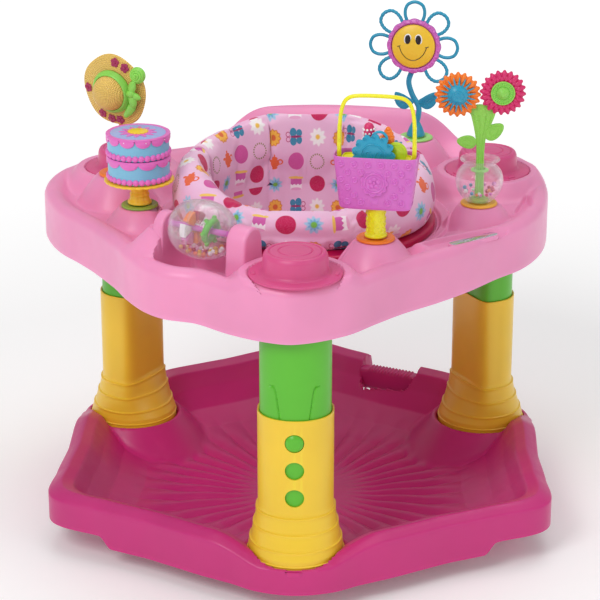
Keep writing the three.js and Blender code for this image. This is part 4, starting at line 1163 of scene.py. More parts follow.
def cake():
    toy = toy_frame("cake")
    stand = Part()
    prof = PEG + [(15.6, 4.5), (15.2, 7), (12.6, 10), (11.4, 14), (12.4, 17), (10.4, 20),
                  (12, 24), (13.5, 28),
            (20, 32), (40, 33.8), (44, 35), (44, 37.6), (0, 37.6)]

    def petals(a, r, z):
        """Scallops round the plate, and fewer and flatter ones round the foot."""
        foot = float(smooth(16.5, 15, r)) * float(smooth(4, 9, z))
        return 1.3 * np.abs(np.cos(13 * a)) * float(smooth(38, 44, r)) + 0.7 * np.abs(np.cos(5 * a)) * foot
    stand.lathe(filleted(prof, [0] + [1.0] * 14 + [0], 3), 208, toy, 0, petals)
    stand.make("cake_pedestal", YELLOW, "cake", "cake_stand", "yellow_plastic")

    def tier(name, z0, z1, nodes, body, top_face):
        p = Part()
        r = 39.6
        prof = [(0, z0), (r - 1, z0), (r, z0 + 1), (r, z1 - 1.5), (r - 1.5, z1), (0, z1)]
        p.lathe(filleted(prof, [0, 1, 1, 1, 1, 0], 3), 128, toy, 0)
        piping(p, r, z0 + 4.2, 32, 4.2, toy, 1)
        swags(p, r, z1 + 0.2, 12 if top_face else 10, toy, 1, 0.0 if top_face else 0.35)
        if top_face:
            rim = [(r - 4.5, z1 - 0.6), (r + 1.6, z1 - 1.2), (r + 1.2, z1 + 0.6), (r - 3.2, z1 + 0.9)]
            p.hoop(filleted(rim, 0.7, 3, closed=True), 128, toy, 1,
                   lambda a, rr, z: 0.5 * np.abs(np.sin(9 * a / 2)) * float(smooth(r - 2, r + 1, rr)))
            disc = filleted([(0, z1 - 0.2), (r - 4, z1 - 0.2), (r - 4, z1 + 0.35), (0, z1 + 0.35)], 0.2, 2)
            p.lathe(disc, 96, toy, 2)
            p.slab(waved(20, 4.6, 12, 168), z1, z1 + 1.2, 0.5, toy, 1)
            p.slab(waved(13, 0.7, 14, 140), z1 + 0.9, z1 + 2.4, 0.9, toy, 3)
            for k in range(9):
                a = TAU * (k + 0.25) / 9
                p.ball(((r + 1.9) * math.cos(a), (r + 1.9) * math.sin(a), z1 - 3.2), 0.75, 8, toy, 4)
        p.make(name, [SKY, FROST, LILAC, YELLOW, WHITE], body, nodes, "cake_blue_plastic", shade=45)

    tier("cake_tier_lower", 38.2, 68.8, "cake_lower_tier", "cake", False)
    tier("cake_tier_upper", 69.8, 98.2, "cake_upper_tier", "cake_top", True)


# ------------------------------------------------------------------ tumbling globe

def touching(placed, x, y, z, size):
    """Whether a ball would cut into one that is already in place."""
    return any((x - a) ** 2 + (y - b) ** 2 + (z - c) ** 2 < (size + s) ** 2 for a, b, c, s in placed)


def globe():
    at = move(*GLOBE["at"]) @ turn("Z", GLOBE["yaw"]) @ turn("Y", 90)
    half, radius = GLOBE["half"], GLOBE["radius"]
    p = Part()

    def wall(t, inset, ends):
        """Point of the globe's section at an angle in degrees from its axle."""
        return (radius - inset) * math.sin(rad(t)) ** 0.64, -(half - ends) * math.cos(rad(t))

    ts = np.linspace(8, 172, 34)
    section = [wall(t, 0, 0.6) for t in ts] + [wall(t, 1.6, 2.4) for t in ts[::-1]]
    p.hoop([(max(r, 4.2), z) for r, z in section], 80, at)
    # raised seam round the middle and one along the axle
    p.hoop([(radius - 0.4, -1.2), (radius + 0.5, -0.9), (radius + 0.5, 0.9), (radius - 0.4, 1.2)], 96, at)
    for side in (1, -1):
        p.tube([(side * r, 0, z) for r, z in (wall(t, 0, 0.6) for t in np.linspace(9, 171, 48))],
               0.75, 8, at=at)
    p.make("globe_shell", CLEAR, "globe", "tumble_globe", "clear_plastic")
    end = half + 9.5
    axle = Part().lathe(filleted([(0, -end), (3.8, -end), (3.8, end), (0, end)], 0.6), 32, at)
    axle.make("globe_spindle", PURPLE, "tray", "globe_axle", "purple_plastic")
    rng = random.Random(4)
    here = move(*GLOBE["at"]) @ turn("Z", GLOBE["yaw"])
    inside = Part()
    # a broken wheel of coloured wedges on the spindle
    for k, m in enumerate((0, 1, 2, 0, 1, 3)):
        a0, a1 = 60 * k + 4, 60 * k + 52
        wedge = [q[:2] for q in arc(21, a0, a1, 9) + arc(6.5, a1, a0, 6)]
        inside.slab(wedge, -4 + 3 * math.sin(k), 5 + 3 * math.sin(k), 1.0,
                    here @ move(-14, 0, 0) @ turn("Y", 90), m)
    inside.make("globe_wheel", [ORANGE, WHITE, CRIMSON, FROST], "globe", (), "orange_plastic")
    ring = Part()
    leaning = [(12 + 3.2 * y / 12.5, x, y) for x, y, _ in circle(12.5, 48)]
    ring.tube(leaning, 4.2, 14, closed=True, at=here)
    for x, y, _ in circle(17, 6):
        ring.ball((12, x, y), 3.2, 12, here)
    ring.make("globe_ring", GREEN, "globe", "globe_charm", "green_plastic")
    beads = Part()
    placed = []
    for _ in range(900):
        x, y = rng.uniform(-26, 26), rng.uniform(-16, 16)
        size = rng.uniform(2.5, 3.4)
        r_at = (radius - 2.2) * max(1 - (x / (half - 2)) ** 2, 0.05) ** 0.45
        if abs(y) > r_at - size:
            continue
        z = -math.sqrt(max(r_at ** 2 - y * y, 0)) + size + 0.3
        if z > -15 or touching(placed, x, y, z, size):
            continue
        placed.append((x, y, z, size))
        beads.ball((x, y, z), size, 12, here, len(placed) % 4)
        if len(placed) >= 34:
            break
    beads.make("globe_beadheap", [ORANGE, YELLOW, WHITE, CRIMSON], "globe", "globe_beads", "orange_plastic")


# ------------------------------------------------------------------ purse

def squircle(half, deep, z, count=120, power=6.0):
    a = np.arange(count) * TAU / count
    r = (np.abs(np.cos(a) / half) ** power + np.abs(np.sin(a) / deep) ** power) ** (-1 / power)
    return np.stack([r * np.cos(a), r * np.sin(a), np.full(count, z)], 1)


def scallops(radius, bump, lobes, count):
    """An outline of round lobes with a notch between each two."""
    out = []
    for k in range(count):
        t = TAU * k / count
        r = radius + bump * (abs(math.cos(lobes * t / 2)) * 2 - 1)
        out.append((r * math.cos(t), r * math.sin(t)))
    return out


PURSE_BOTTOM, PURSE_TOP, PURSE_FLOOR = 42.0, 109.0, 103.8


def purse_post(at):
    stand = Part()
    stand.lathe(filleted(PEG + [(13.8, 4.5), (13.8, 7.4), (11.6, 8.4), (11.4, 36), (12.2, 41.4), (0, 41.4)],
                         [0, 0.5, 0.5, 0.8, 1, 1, 2, 1, 0], 3), 64, at)
    for k in range(7):
        for row in range(4):
            height = 12.5 + row * 7.4
            spot = at @ turn("Z", 360 * (k + 0.5 * (row % 2)) / 7) @ move(10.7, 0, height) @ turn("Y", 90)
            stand.tube(circle(2.3, 14, 0.8), 0.75, 6, closed=True, at=spot)
    stand.make("purse_post", LEMON, "purse", "purse_pedestal", "yellow_plastic")


def purse_half(z, wall=0.0):
    """Half width and half depth of the bag, which flares upwards."""
    t = (z - PURSE_BOTTOM - 4) / (PURSE_TOP - PURSE_BOTTOM - 4)
    return 44.5 + 7.3 * t - wall, 17.2 + 3.7 * t - wall


def purse_skin(at, x, z, face):
    """Frame on the bag's front (1) or back (-1), with Z pointing out of the face."""
    width, depth = purse_half(z)
    out = -depth * (1 - (abs(x) / width) ** 6) ** (1 / 6) + 0.15
    return at @ turn("Z", 0 if face > 0 else 180) @ move(x, out, z) @ turn("X", 90 - 3.4)


def purse_bag(at):
    bottom, top = PURSE_BOTTOM, PURSE_TOP
    rows = [squircle(39, 13.5, bottom + 0.2), squircle(42.4, 15.6, bottom + 0.6),
            squircle(43.9, 16.6, bottom + 2)]
    rows += [squircle(*purse_half(z), z) for z in np.linspace(bottom + 4, top - 1.2, 24)]
    rows += [squircle(51.8, 20.9, top - 0.4), squircle(51.2, 20.4, top), squircle(50.6, 19.7, top)]
    rows += [squircle(50.0, 19.1, top - 1)]
    rows += [squircle(*purse_half(z, 1.8), z) for z in np.linspace(top - 4, bottom + 3, 10)]
    p = Part().grid(rows, caps=True, at=at)
    for side in (1, -1):
        pin = filleted([(0, 0), (2.0, 0), (2.0, 6.6), (0, 6.6)], 0.4)
        p.lathe(pin, 24, at @ move(side * 44.2, 0, top - 4) @ turn("Y", side * 90))
    for face in (1, -1):
        purse_relief(p, at, face)
    p.make("purse_bag", PURPLE, "purse", "purse_body", "purple_plastic", shade=40)


def purse_relief(p, at, face):
    """Raised rings, rosette, tab and seams on one face of the bag."""
    middle, pitch = 78, 16.4
    for row, z in enumerate((52.5, 61.5, 71, 80.5, 90.5, 100.5)):
        for x in np.arange(-3, 4) * pitch + (pitch / 2 if row % 2 else 0):
            if abs(x) > purse_half(z)[0] - 6.5 or math.hypot(x, z - middle) < 20 or (z < 58 and abs(x) < 9):
                continue
            spot = purse_skin(at, x, z, face)
            p.tube(circle(3.2, 20, 0.7), 1.1, 8, closed=True, at=spot)
            p.ball((0, 0, 0.3), (2.6, 2.6, 0.9), 12, spot)
    centre = purse_skin(at, 0, middle, face)
    p.slab(scallops(15.6, 1.3, 11, 176), -0.8, 1.5, 0.7, centre)
    p.tube(circle(11.6, 56, 1.7), 1.2, 8, closed=True, at=centre)
    p.tube([(x, y, 1.4) for x, y in scallops(15.0, 1.2, 11, 88)], 0.9, 6, closed=True, at=centre)
    for k in range(5):
        a = rad(90 + 72 * k)
        p.ball((4.8 * math.cos(a), 4.8 * math.sin(a), 1.4), (3.2, 3.2, 1.9), 14, centre)
    p.ball((0, 0, 2.4), (2.2, 2.2, 1.4), 14, centre)
    p.slab(plate(4.6, 3.6, 1, 3), -0.8, 0.9, 0.6, purse_skin(at, 0, 53.6, face))
    for side in (1, -1):
        seam = [purse_skin(at, side * 15.5 * (0.92 + 0.08 * (z - 96) / 12), z, face)
                for z in np.linspace(96.5, 107.5, 8)]
        p.tube([tuple((at.inverted() @ spot).translation) for spot in seam], 0.45, 6, at=at)


def purse_lining(at):
    top = PURSE_TOP
    section = ((42.0, 16.6, 9.4), (42.6, 17.0, 4.6), (42.4, 16.8, 3.8), (41.2, 15.2, 3.8), (40.8, 14.8, 5.4))
    insert = Part().grid([squircle(half, deep, top - below) for half, deep, below in section],
                         caps=True, at=at)
    insert.make("purse_lining", LEMON, "purse", "purse_insert", "yellow_plastic")


def above(points, low):
    """An outline cut off level at its foot."""
    return [(x, max(y, low)) for x, y in points]


def purse_lace(at):
    face = at @ move(-3, -6.4, PURSE_FLOOR + 5.6) @ turn("X", 90)
    lace = Part()
    lace.slab(above(scallops(24.6, 2.4, 13, 208), -5.4), 0, 3.4, 0.8, face)
    for k in range(13):
        a = TAU * k / 13 + 0.12
        if math.sin(a) < -0.12:
            continue
        c = (22.8 * math.cos(a), 22.8 * math.sin(a))
        lace.tube(circle(2.3, 16, 3.6, c), 0.6, 6, closed=True, at=face)
        lace.tube(spiral(9, 0.3, 0.16, 0.8, 3.7, centre=c), 0.4, 6, at=face)
    lace.tube(arc(14.6, -18, 198, 40, 3.6), 0.85, 8, at=face)
    lace.tube(arc(12.0, -20, 200, 36, 3.5), 0.5, 8, at=face)
    for side in (1, -1):
        bow = [(side * 1, -4, 3.6), (side * 4.5, 4.5, 3.8), (side * 9, 3, 3.8), (side * 6, -4, 3.6)]
        lace.tube(spline(bow, 24), 0.8, 8, at=face)
    lace.tube(arc(9, -20, 200, 30, -1.0, (7, 20)), 1.7, 12, at=face)
    lace.make("purse_lace", TEAL, "purse", "purse_rosette", "blue_plastic")


def purse_token(at):
    coin = Part()
    here = at @ move(24, -2.2, PURSE_FLOOR + 8) @ turn("X", 90) @ turn("Y", -8)
    coin.slab(above(scallops(13.4, 0.0, 8, 72), -8), -3.2, 0, 0.8, here)
    coin.tube(arc(11.2, -30, 210, 40, 0.1), 0.8, 8, at=here)
    coin.slab(above(scallops(8.0, 0.0, 8, 48), -6), -0.6, 0.5, 0.3, here)
    coin.make("purse_token", LIME, "purse", "purse_coin", "lime_plastic")


def purse_cupcake(at):
    cup = Part()
    spot = at @ move(12.5, 8, PURSE_FLOOR + 8)
    cup.lathe(filleted([(0, 0), (5.8, 0), (7.8, 14.5), (0, 14.5)], 0.5), 60, spot, 0,
              lambda a, r, z: 0.35 * np.cos(15 * a) * (r > 3))
    for k, (r, z) in enumerate(((8.4, 16.5), (6.8, 20.5), (4.6, 24), (2.4, 27))):
        swirl = [(0.62 * r * math.cos(t), 0.62 * r * math.sin(t), z + 0.6 * math.sin(t))
                 for t in np.arange(28) * TAU / 28]
        cup.tube(swirl, 2.9 - 0.35 * k, 12, closed=True, at=spot)
        cup.ball((0, 0, z), (r * 0.7, r * 0.7, 2.4), 16, spot)
    cup.make("purse_cake_charm", ORANGE, "purse", "purse_cupcake", "orange_plastic")


def purse_sweet(at):
    sweet = Part()
    spot = at @ move(-9, 5, PURSE_FLOOR + 14) @ turn("Y", -4)
    sweet.lathe(filleted([(0, -13), (3, -13), (3, -1), (6.2, 2), (7.0, 8), (7.0, 20), (5.2, 27), (0, 29.4)],
                         [0, 1, 1, 2, 3, 4, 3, 0], 4), 48, spot)
    for row in range(4):
        for k in range(9):
            a = TAU * (k + 0.5 * (row % 2)) / 9
            sweet.ball((6.8 * math.cos(a), 6.8 * math.sin(a), 6 + row * 5), (1.5, 1.5, 1.5), 10, spot, 1)
    sweet.make("purse_sweet", [MAGENTA, WHITE], "purse", "purse_candy", "magenta_plastic")


def purse_bail(at):
    bail = Part()
    x, top, crest = 46.0, PURSE_TOP, PURSE_TOP + 72.0
    left = [(-x, 0, top + 4), (-x + 0.6, 0, top + 38), (-x + 3.4, 0, crest - 15), (-x + 9, 0, crest - 5),
            (-x + 20, 0, crest - 0.6)]
    right = [(-px, 0, pz) for px, _, pz in reversed(left)]
    bail.tube(spline(left + [(0, 0, crest + 0.4)] + right, 110), 2.5, 16, at=at)
    for side in (1, -1):
        block = filleted([(-3.2, -7), (3.2, -7), (3.2, 13), (2.6, 17), (-2.6, 17), (-3.2, 13)], 1.2,
                         3, closed=True)
        bail.slab(block, -2.5, 2.5, 1.0, at @ move(side * x, 0, top) @ turn("Z", 90)
                  @ turn("X", 90), steps=3)
        grip = filleted([(-2.4, 13), (2.4, 13), (2.2, 36), (-2.2, 36)], 1, 3, closed=True)
        bail.slab(grip, -3.2, 3.2, 1.1, at @ move(side * (x - 0.1), 0, top) @ turn("X", 90), steps=3)
    bail.make("purse_bail", LEMON, "purse_bail", "purse_handle", "yellow_plastic")


def purse():
    at = toy_frame("purse", -8)
    for piece in (purse_post, purse_bag, purse_lining, purse_lace, purse_token, purse_cupcake,
                  purse_sweet, purse_bail):
        piece(at)


# ------------------------------------------------------------------ smiling sunflower

SUN = {"centre": (-5, -1, 133), "lean": 85, "turn": -11}


def sunflower_stalk(toy, head):
    stem = Part()
    stem.lathe(filleted(PEG + [(12.8, 4.5), (12.2, 9), (9.5, 16), (6.2, 23), (3.5, 26), (0, 27)],
                        [0, 0.5, 0.5, 1, 3, 4, 3, 1, 0], 3), 48, toy)
    for k in range(10):
        a = TAU * k / 10
        rib = [((13.0 - 0.42 * (z - 5)) * math.cos(a), (13.0 - 0.42 * (z - 5)) * math.sin(a), z)
               for z in np.linspace(6, 19, 6)]
        stem.tube(rib, 0.6, 6, at=toy)
    line = spline([(0, 0, 18), (3, 0, 32), (3, 2, 46), (-6, 6, 62), (-11, 8, 80), (-6, 9, 98), (-4, 8, 118),
                   (-4, 6, 130)], 80)
    stem.tube(line, 3.9, 18, at=toy)
    stem.lathe(filleted([(0, -12), (7.8, -12), (7.8, -2.7), (0, -2.7)], 0.8), 32, head)
    for side in (1, -1):
        leaf = toy @ move(-1 + side * 3, 1.5, 52)
        rows, spine = [], spline([(0, 0, 0), (side * 10, 0, -1), (side * 20, 0, 5), (side * 26, 0, 14)], 24)
        for t, (x, _, z) in zip(np.linspace(0, 1, 24), spine):
            half = 10.4 * math.sin(math.pi * min(max(t, 0.02), 0.985)) ** 0.7 * (1 - 0.15 * t) + 0.3
            slope = (0.1 + 0.6 * t) * side
            ring = []
            for k in range(20):
                a = TAU * k / 20
                wide = half * math.cos(a)
                cupped = 1.4 * math.sin(a) - 2.0 * abs(math.cos(a)) * half / 9.6
                ring.append((x - math.sin(slope) * wide, cupped, z + math.cos(slope) * wide))
            rows.append(ring)
        stem.grid(rows, caps=True, at=leaf)
        stem.tube([(x, -1.7, z) for x, _, z in spine[1:-2]], 0.75, 8, at=leaf)
        for t in (5, 9, 13, 17):
            x0, _, z0 = spine[t]
            slope = (0.1 + 0.6 * t / 23) * side
            for up in (1, -1):
                vein = [(x0 + side * 3.0 * q - math.sin(slope) * up * 5.4 * q, -1.8 - 0.9 * q,
                         z0 + math.cos(slope) * up * 5.4 * q) for q in np.linspace(0.05, 0.9, 6)]
                stem.tube(vein, 0.5, 6, at=leaf)
    stem.make("sunflower_stalk", TEAL, "sunflower", "sunflower_stem", "blue_plastic", shade=45)


def sunflower_ring(head):
    ring = Part()
    collar = filleted([(31.6, -4.6), (36.6, -4.8), (37.6, -1.0), (36.4, 2.6), (33, 3.8), (31.6, 3.0)], 1.2,
                      3, closed=True)
    ring.hoop(collar, 192, head, 0,
              lambda a, r, z: (1.5 * np.abs(np.cos(8 * a)) - 0.4) * float(smooth(33, 36.5, r)))
    ring.hoop([(4.8, -2), (32.6, -2), (32.6, -0.2), (4.8, -0.2)], 96, head)
    for k in range(24):
        a = TAU * (k + 0.5) / 24
        ring.ball((35.0 * math.cos(a), 35.0 * math.sin(a), 2.5), (2.3, 2.3, 1.9), 14, head)
    for k in range(7):
        spot = head @ turn("Z", -90 + 45 * (k + 1))
        half = [(36.4, -11.4, -0.4), (43, -13.4, 0), (51, -13.2, 0), (58, -9.4, 0)]
        loop = half + [(61.4, 0, 0)] + [(x, -y, z) for x, y, z in reversed(half)]
        rope = k % 2 == 0
        radius = [2.1 + (0.55 * abs(math.sin(i * 0.56)) if rope and 6 < i < 74 else 0.3) for i in range(80)]
        ring.tube(spline(loop, 80), radius, 12, at=spot, mat=1)
    ring.make("sunflower_ring", [PURPLE, TEAL], "sunflower_ring", "sunflower_petals",
              "purple_plastic", shade=50)


def sunflower_face(head):
    face = Part()
    prof = [(0, -2), (3.8, -2), (3.8, 0.5), (30.2, 0.5), (30.2, 3.4), (29, 4.6), (22, 6.6),
            (12, 8.3), (0, 8.8)]
    face.lathe(filleted(prof, [0, 0.4, 0.4, 0.4, 1, 1, 3, 4, 0], 3), 120, head)

    def dome(x, y):
        return 8.8 - 0.0046 * (x * x + y * y)

    for side in (1, -1):
        for rx, ry, lift, mat in ((5.5, 8.1, 0.1, 1), (4.1, 6.7, 0.45, 2)):
            face.ball((side * 7.4, 9.8, dome(7.4, 9.8) + lift - 0.4), (rx, ry, 0.8), 28, head, mat)
    smile = spline([(-19.5, 0), (-15, -9.8), (-8, -16.6), (0, -19), (8, -16.6), (15, -9.8), (19.5, 0)], 40)
    face.tube([(x, y, dome(x, y) + 0.05) for x, y in smile], 0.5, 8, at=head, mat=2)
    for side in (1, -1):
        x, y = side * 19.6, 0.2
        z = dome(x, y)
        face.tube([(x - 2.2, y - 0.7, z + 0.15), (x, y, z + 0.1), (x + 2.2, y + 0.7, z - 0.05)], 0.5, 8,
                  at=head, mat=2)
    face.make("sunflower_smile", [YELLOW, WHITE, INK], "sunflower", "sunflower_face", "yellow_plastic")


def sunflower():
    toy = toy_frame("sunflower")
    head = toy @ move(*SUN["centre"]) @ turn("Z", SUN["turn"]) @ turn("X", SUN["lean"])
    sunflower_stalk(toy, head)
    sunflower_ring(head)
    sunflower_face(head)


# ------------------------------------------------------------------ vase with two geared flowers

def stippled(name, color):
    s = Shade(name)
    dots = s.node("ShaderNodeTexVoronoi", {"Vector": s.where, "Scale": 420.0})
    lift = s.ramp(dots, 0.15, 0.45, 1.0, 0.0)
    # painted highlight: the raised dots are made paler on top
    s.set(color=s.mix(s.ramp(lift, 0.2, 0.8, 0, 0.5), color, tone(color, 1.3)), rough=0.38, coat=0.12,
          normal=s.bump(lift, 0.6, 0.0008))
    return s.mat


STEM_GREEN = stippled("stem_plastic", srgb(142, 212, 78))


def toothed(radius, tooth, teeth, count, phase):
    """Outline of a flower whose round teeth mesh with its neighbour's."""
    out = []
    for k in range(count):
        t = TAU * k / count
        c = math.cos(teeth * (t - phase))
        r = radius + tooth * math.copysign(abs(c) ** 0.8, c)
        out.append((r * math.cos(t), r * math.sin(t)))
    return out


FLOWER = {"gap": 57.2, "rise": 3.0, "teeth": 20, "radius": 27.8, "tooth": 1.8, "height": 149.0,
          "shift": -2.4}


def flower_centre(side):
    """Where the orange (-1) or magenta (1) flower turns, as [x, z] in the toy's frame."""
    return side * FLOWER["gap"] / 2 + FLOWER["shift"], FLOWER["height"] + side * FLOWER["rise"] / 2


def flower_stalk(toy):
    stem = Part()
    stem.lathe(filleted(PEG + [(12.8, 4.5), (12.8, 8), (9, 9.4), (0, 9.4)], 0.8, 3), 48, toy)
    upright = toy @ turn("X", 90)
    trunk = spline([(-6, 8), (-5.4, 40), (-5, 66), (-6, 84), (-9, 102), (-14, 122), (-17, 129),
                    (-8, 132.5), (5, 132.5),
                    (17, 127), (17.6, 120), (12, 104), (7, 90), (5.4, 76), (5, 66), (5.4, 40), (6, 8)], 150)
    stem.slab([tuple(q) for q in trunk], -2.4, 2.4, 1.0, upright, steps=3)
    ribs = ((12, 5.6, 0), (44, 4.8, 0), (66, 4.6, 0), (84, 5.4, 0.6), (102, 8.8, 1.4), (120, 14, 2))
    for share in (-0.82, -0.34, 0.34, 0.82):
        rib = [(share * wide + lean, z, 2.4) for z, wide, lean in ribs]
        stem.tube(spline(rib, 30), 0.65, 8, at=upright)
    for side, lift, tilt, size in ((1, 89, 36, 1.14), (-1, 82, 6, 1.0)):
        leaf = upright @ move(side * 5, lift, 0) @ turn("Z", side * tilt) @ Matrix.Scale(size, 4)

        def blade(grow, count, z):
            """Egg-shaped loop of the leaf, its round end at the stem."""
            return [(side * (13.0 + 12.5 * grow * math.cos(t)),
                     8.4 * grow * math.sin(t) * (1 - 0.25 * math.cos(t)), z)
                    for t in np.arange(count) * TAU / count]

        stem.slab([q[:2] for q in blade(1, 48, 0)], -2.2, 2.2, 0.9, leaf, steps=3)
        for grow in (0.78, 0.42):
            for face in (2.2, -2.2):
                stem.tube(blade(grow, 40, face), 0.6, 8, closed=True, at=leaf)
    for side in (1, -1):
        cx, cz = flower_centre(side)
        arm = spline([(side * 6, 118), (side * 14, 128), (cx * 0.8, cz - 9), (cx, cz)], 24)
        half = 3.5
        outline = [(x - half, z + half * side) for x,
                   z in arm] + [(x + half, z - half * side) for x, z in arm[::-1]]
        stem.slab(outline, -2.3, 2.3, 0.8, upright)
    for side in (1, -1):
        cx, cz = flower_centre(side)
        stem.lathe(filleted([(0, -2.4), (6.5, -2.4), (6.5, 2.6), (0, 2.6)], 0.5), 32,
                   toy @ move(cx, 0, cz) @ turn("X", 90))
    stem.make("flower_stalk", STEM_GREEN, "vase", "flower_stem", "green_plastic", shade=40)


def vase_glass(toy):
    outer = [(13.7, 5.0), (17, 5.4), (22.5, 10.5), (28, 19), (30.6, 28), (30.7, 36), (28.4, 44),
             (23.8, 50.2),
             (20.0, 53.2), (19.8, 55), (22.2, 57.6), (25.4, 60.0), (25.6, 61.2), (24.6, 61.8)]
    inner = [(20.8, 59.8), (18.0, 56), (18.0, 53), (22.2, 48.8), (26.8, 43), (29.1, 36), (29.0, 28.4),
             (26.4, 19.8),
             (21.2, 11.8), (16.0, 7.0), (13.7, 6.8)]
    bowl = Part().hoop(spline(outer, 44).tolist() + spline(inner, 36).tolist(), 96, toy)
    bowl.make("vase_glass", CLEAR, "vase", "vase_bowl", "clear_plastic")


def vase_beads(toy):
    rng = random.Random(8)
    beads, placed = Part(), []
    for _ in range(600):
        a, r = rng.uniform(0, TAU), rng.uniform(9, 24)
        size = rng.uniform(2.0, 3.0)
        x, y = r * math.cos(a), r * math.sin(a)
        z = 8.6 + size + 0.018 * r * r + rng.uniform(0, 4)
        if math.hypot(x, y) + size > 21 + 0.5 * (z - 12) or touching(placed, x, y, z, size):
            continue
        placed.append((x, y, z, size))
        beads.ball((x, y, z), size, 12, toy, len(placed) % 5)
        if len(placed) >= 22:
            break
    collar = filleted([(7.6, 44), (11.5, 45), (11.5, 47), (7.6, 48)], 0.6, 2, closed=True)
    beads.hoop(collar, 48, toy, 5)
    beads.make("vase_beadheap", [ORANGE, WHITE, CRIMSON, TEAL, PURPLE, LEAF], "vase", "vase_beads",
               "orange_plastic")


def front_of(node):
    """How far a piece reaches forward of the vase toy's axis."""
    return SOCKET_AT["vase"][1] - box_mm(node)[0][1]


def bloom_frame(toy, side):
    x, z = flower_centre(side)
    return toy @ move(x, 0, z) @ turn("X", 90)


def bloom(name, spot, phase, petals, looks):
    """A toothed flower. Each petal ball is [x, y, height share, (rx, ry, share of thickness), sides]."""
    back = SOCKET_AT["vase"][1] - box_mm(f"{name}_flower")[1][1]
    front = front_of(f"{name}_flower")
    thick, teeth = front - back, FLOWER["teeth"]
    p = Part()
    p.slab(toothed(FLOWER["radius"], FLOWER["tooth"], teeth, 400, phase), back + 0.1, back + thick * 0.55,
           0.8, spot, steps=3)
    for k in range(teeth):
        here = spot @ turn("Z", math.degrees(phase + TAU * k / teeth))
        for x, y, share, (rx, ry, tall), sides in petals:
            p.ball((x, y, back + thick * share), (rx, ry, thick * tall), sides, here)
    p.slab([q[:2] for q in circle(15.5, 96)], back + 1, front - 0.4, 0.8, spot)
    p.make(f"{name}_bloom", looks[0], f"{name}_bloom", f"{name}_flower", looks[1], shade=45)


def orange_hub(spot):
    hub, front, tip = Part(), front_of("orange_flower"), front_of("orange_flower_hub")
    for k in range(18):
        ray = [(10, 0, front + 0.3), (15, 0, front + 0.5), (20, 0, front - 0.2), (22.5, 0, front - 0.9)]
        hub.tube(ray, [1.5, 1.3, 0.9, 0.5], 10, at=spot @ turn("Z", 360 * (k + 0.25) / 18))
    hub.lathe(filleted([(0, front - 1.2), (13.2, front - 1.2), (13.2, front + 1.0), (8, tip - 1.0),
                        (5, tip - 0.7), (0, tip)],
                       [0, 0.5, 1, 1.5, 1, 0], 3), 64, spot)
    hub.tube(circle(7.4, 40, tip - 1.1), 0.6, 8, closed=True, at=spot)
    hub.tube(spiral(14, 0.6, 0.32, 0.7, tip - 0.35, -0.02), 0.5, 8, at=spot)
    hub.make("orange_bloom_hub", TEAL, "orange_bloom", "orange_flower_hub", "blue_plastic", shade=45)


def magenta_hub(spot):
    hub, front, tip = Part(), front_of("magenta_flower"), front_of("magenta_flower_hub")
    hub.lathe(filleted([(0, front - 1.2), (15.4, front - 1.2), (15.4, front + 0.2), (0, front + 0.2)], 0.4),
              64, spot)
    hub.tube(circle(14.4, 56, front + 0.5), 1.1, 10, closed=True, at=spot)
    for k in range(28):
        hub.tube([(9.2, 0, front + 0.5), (13.6, 0, front + 0.5)], 0.62, 8, at=spot @ turn("Z", 360 * k / 28))
    hub.lathe(filleted([(0, front), (8.6, front), (8.0, front + 1.6), (3, tip - 0.2), (0, tip)], 1, 3), 48,
              spot)
    hub.make("magenta_bloom_hub", LEAF, "magenta_bloom", "magenta_flower_hub", "green_plastic", shade=45)


def vase():
    toy = toy_frame("vase")
    flower_stalk(toy)
    vase_glass(toy)
    vase_beads(toy)
    spot = bloom_frame(toy, -1)
    bloom("orange", spot, 0.0, [(20.8, 0, 0.55, (7.6, 2.9, 0.40), 16)], (ORANGE, "orange_plastic"))
    orange_hub(spot)
    # the magenta flower's teeth stand half a tooth on, so that they fall between the orange one's
    spot = bloom_frame(toy, 1)
    phase = math.pi + 2 * math.atan2(FLOWER["rise"], FLOWER["gap"]) - math.pi / FLOWER["teeth"]
    petals = [(22.0, 0, 0.55, (6.2, 3.3, 0.42), 16), (17.6, 2.6, 0.6, (4.2, 2.2, 0.36), 14)]
    bloom("magenta", spot, phase, petals, (MAGENTA, "magenta_plastic"))
    magenta_hub(spot)


# ------------------------------------------------------------------ printed fabric

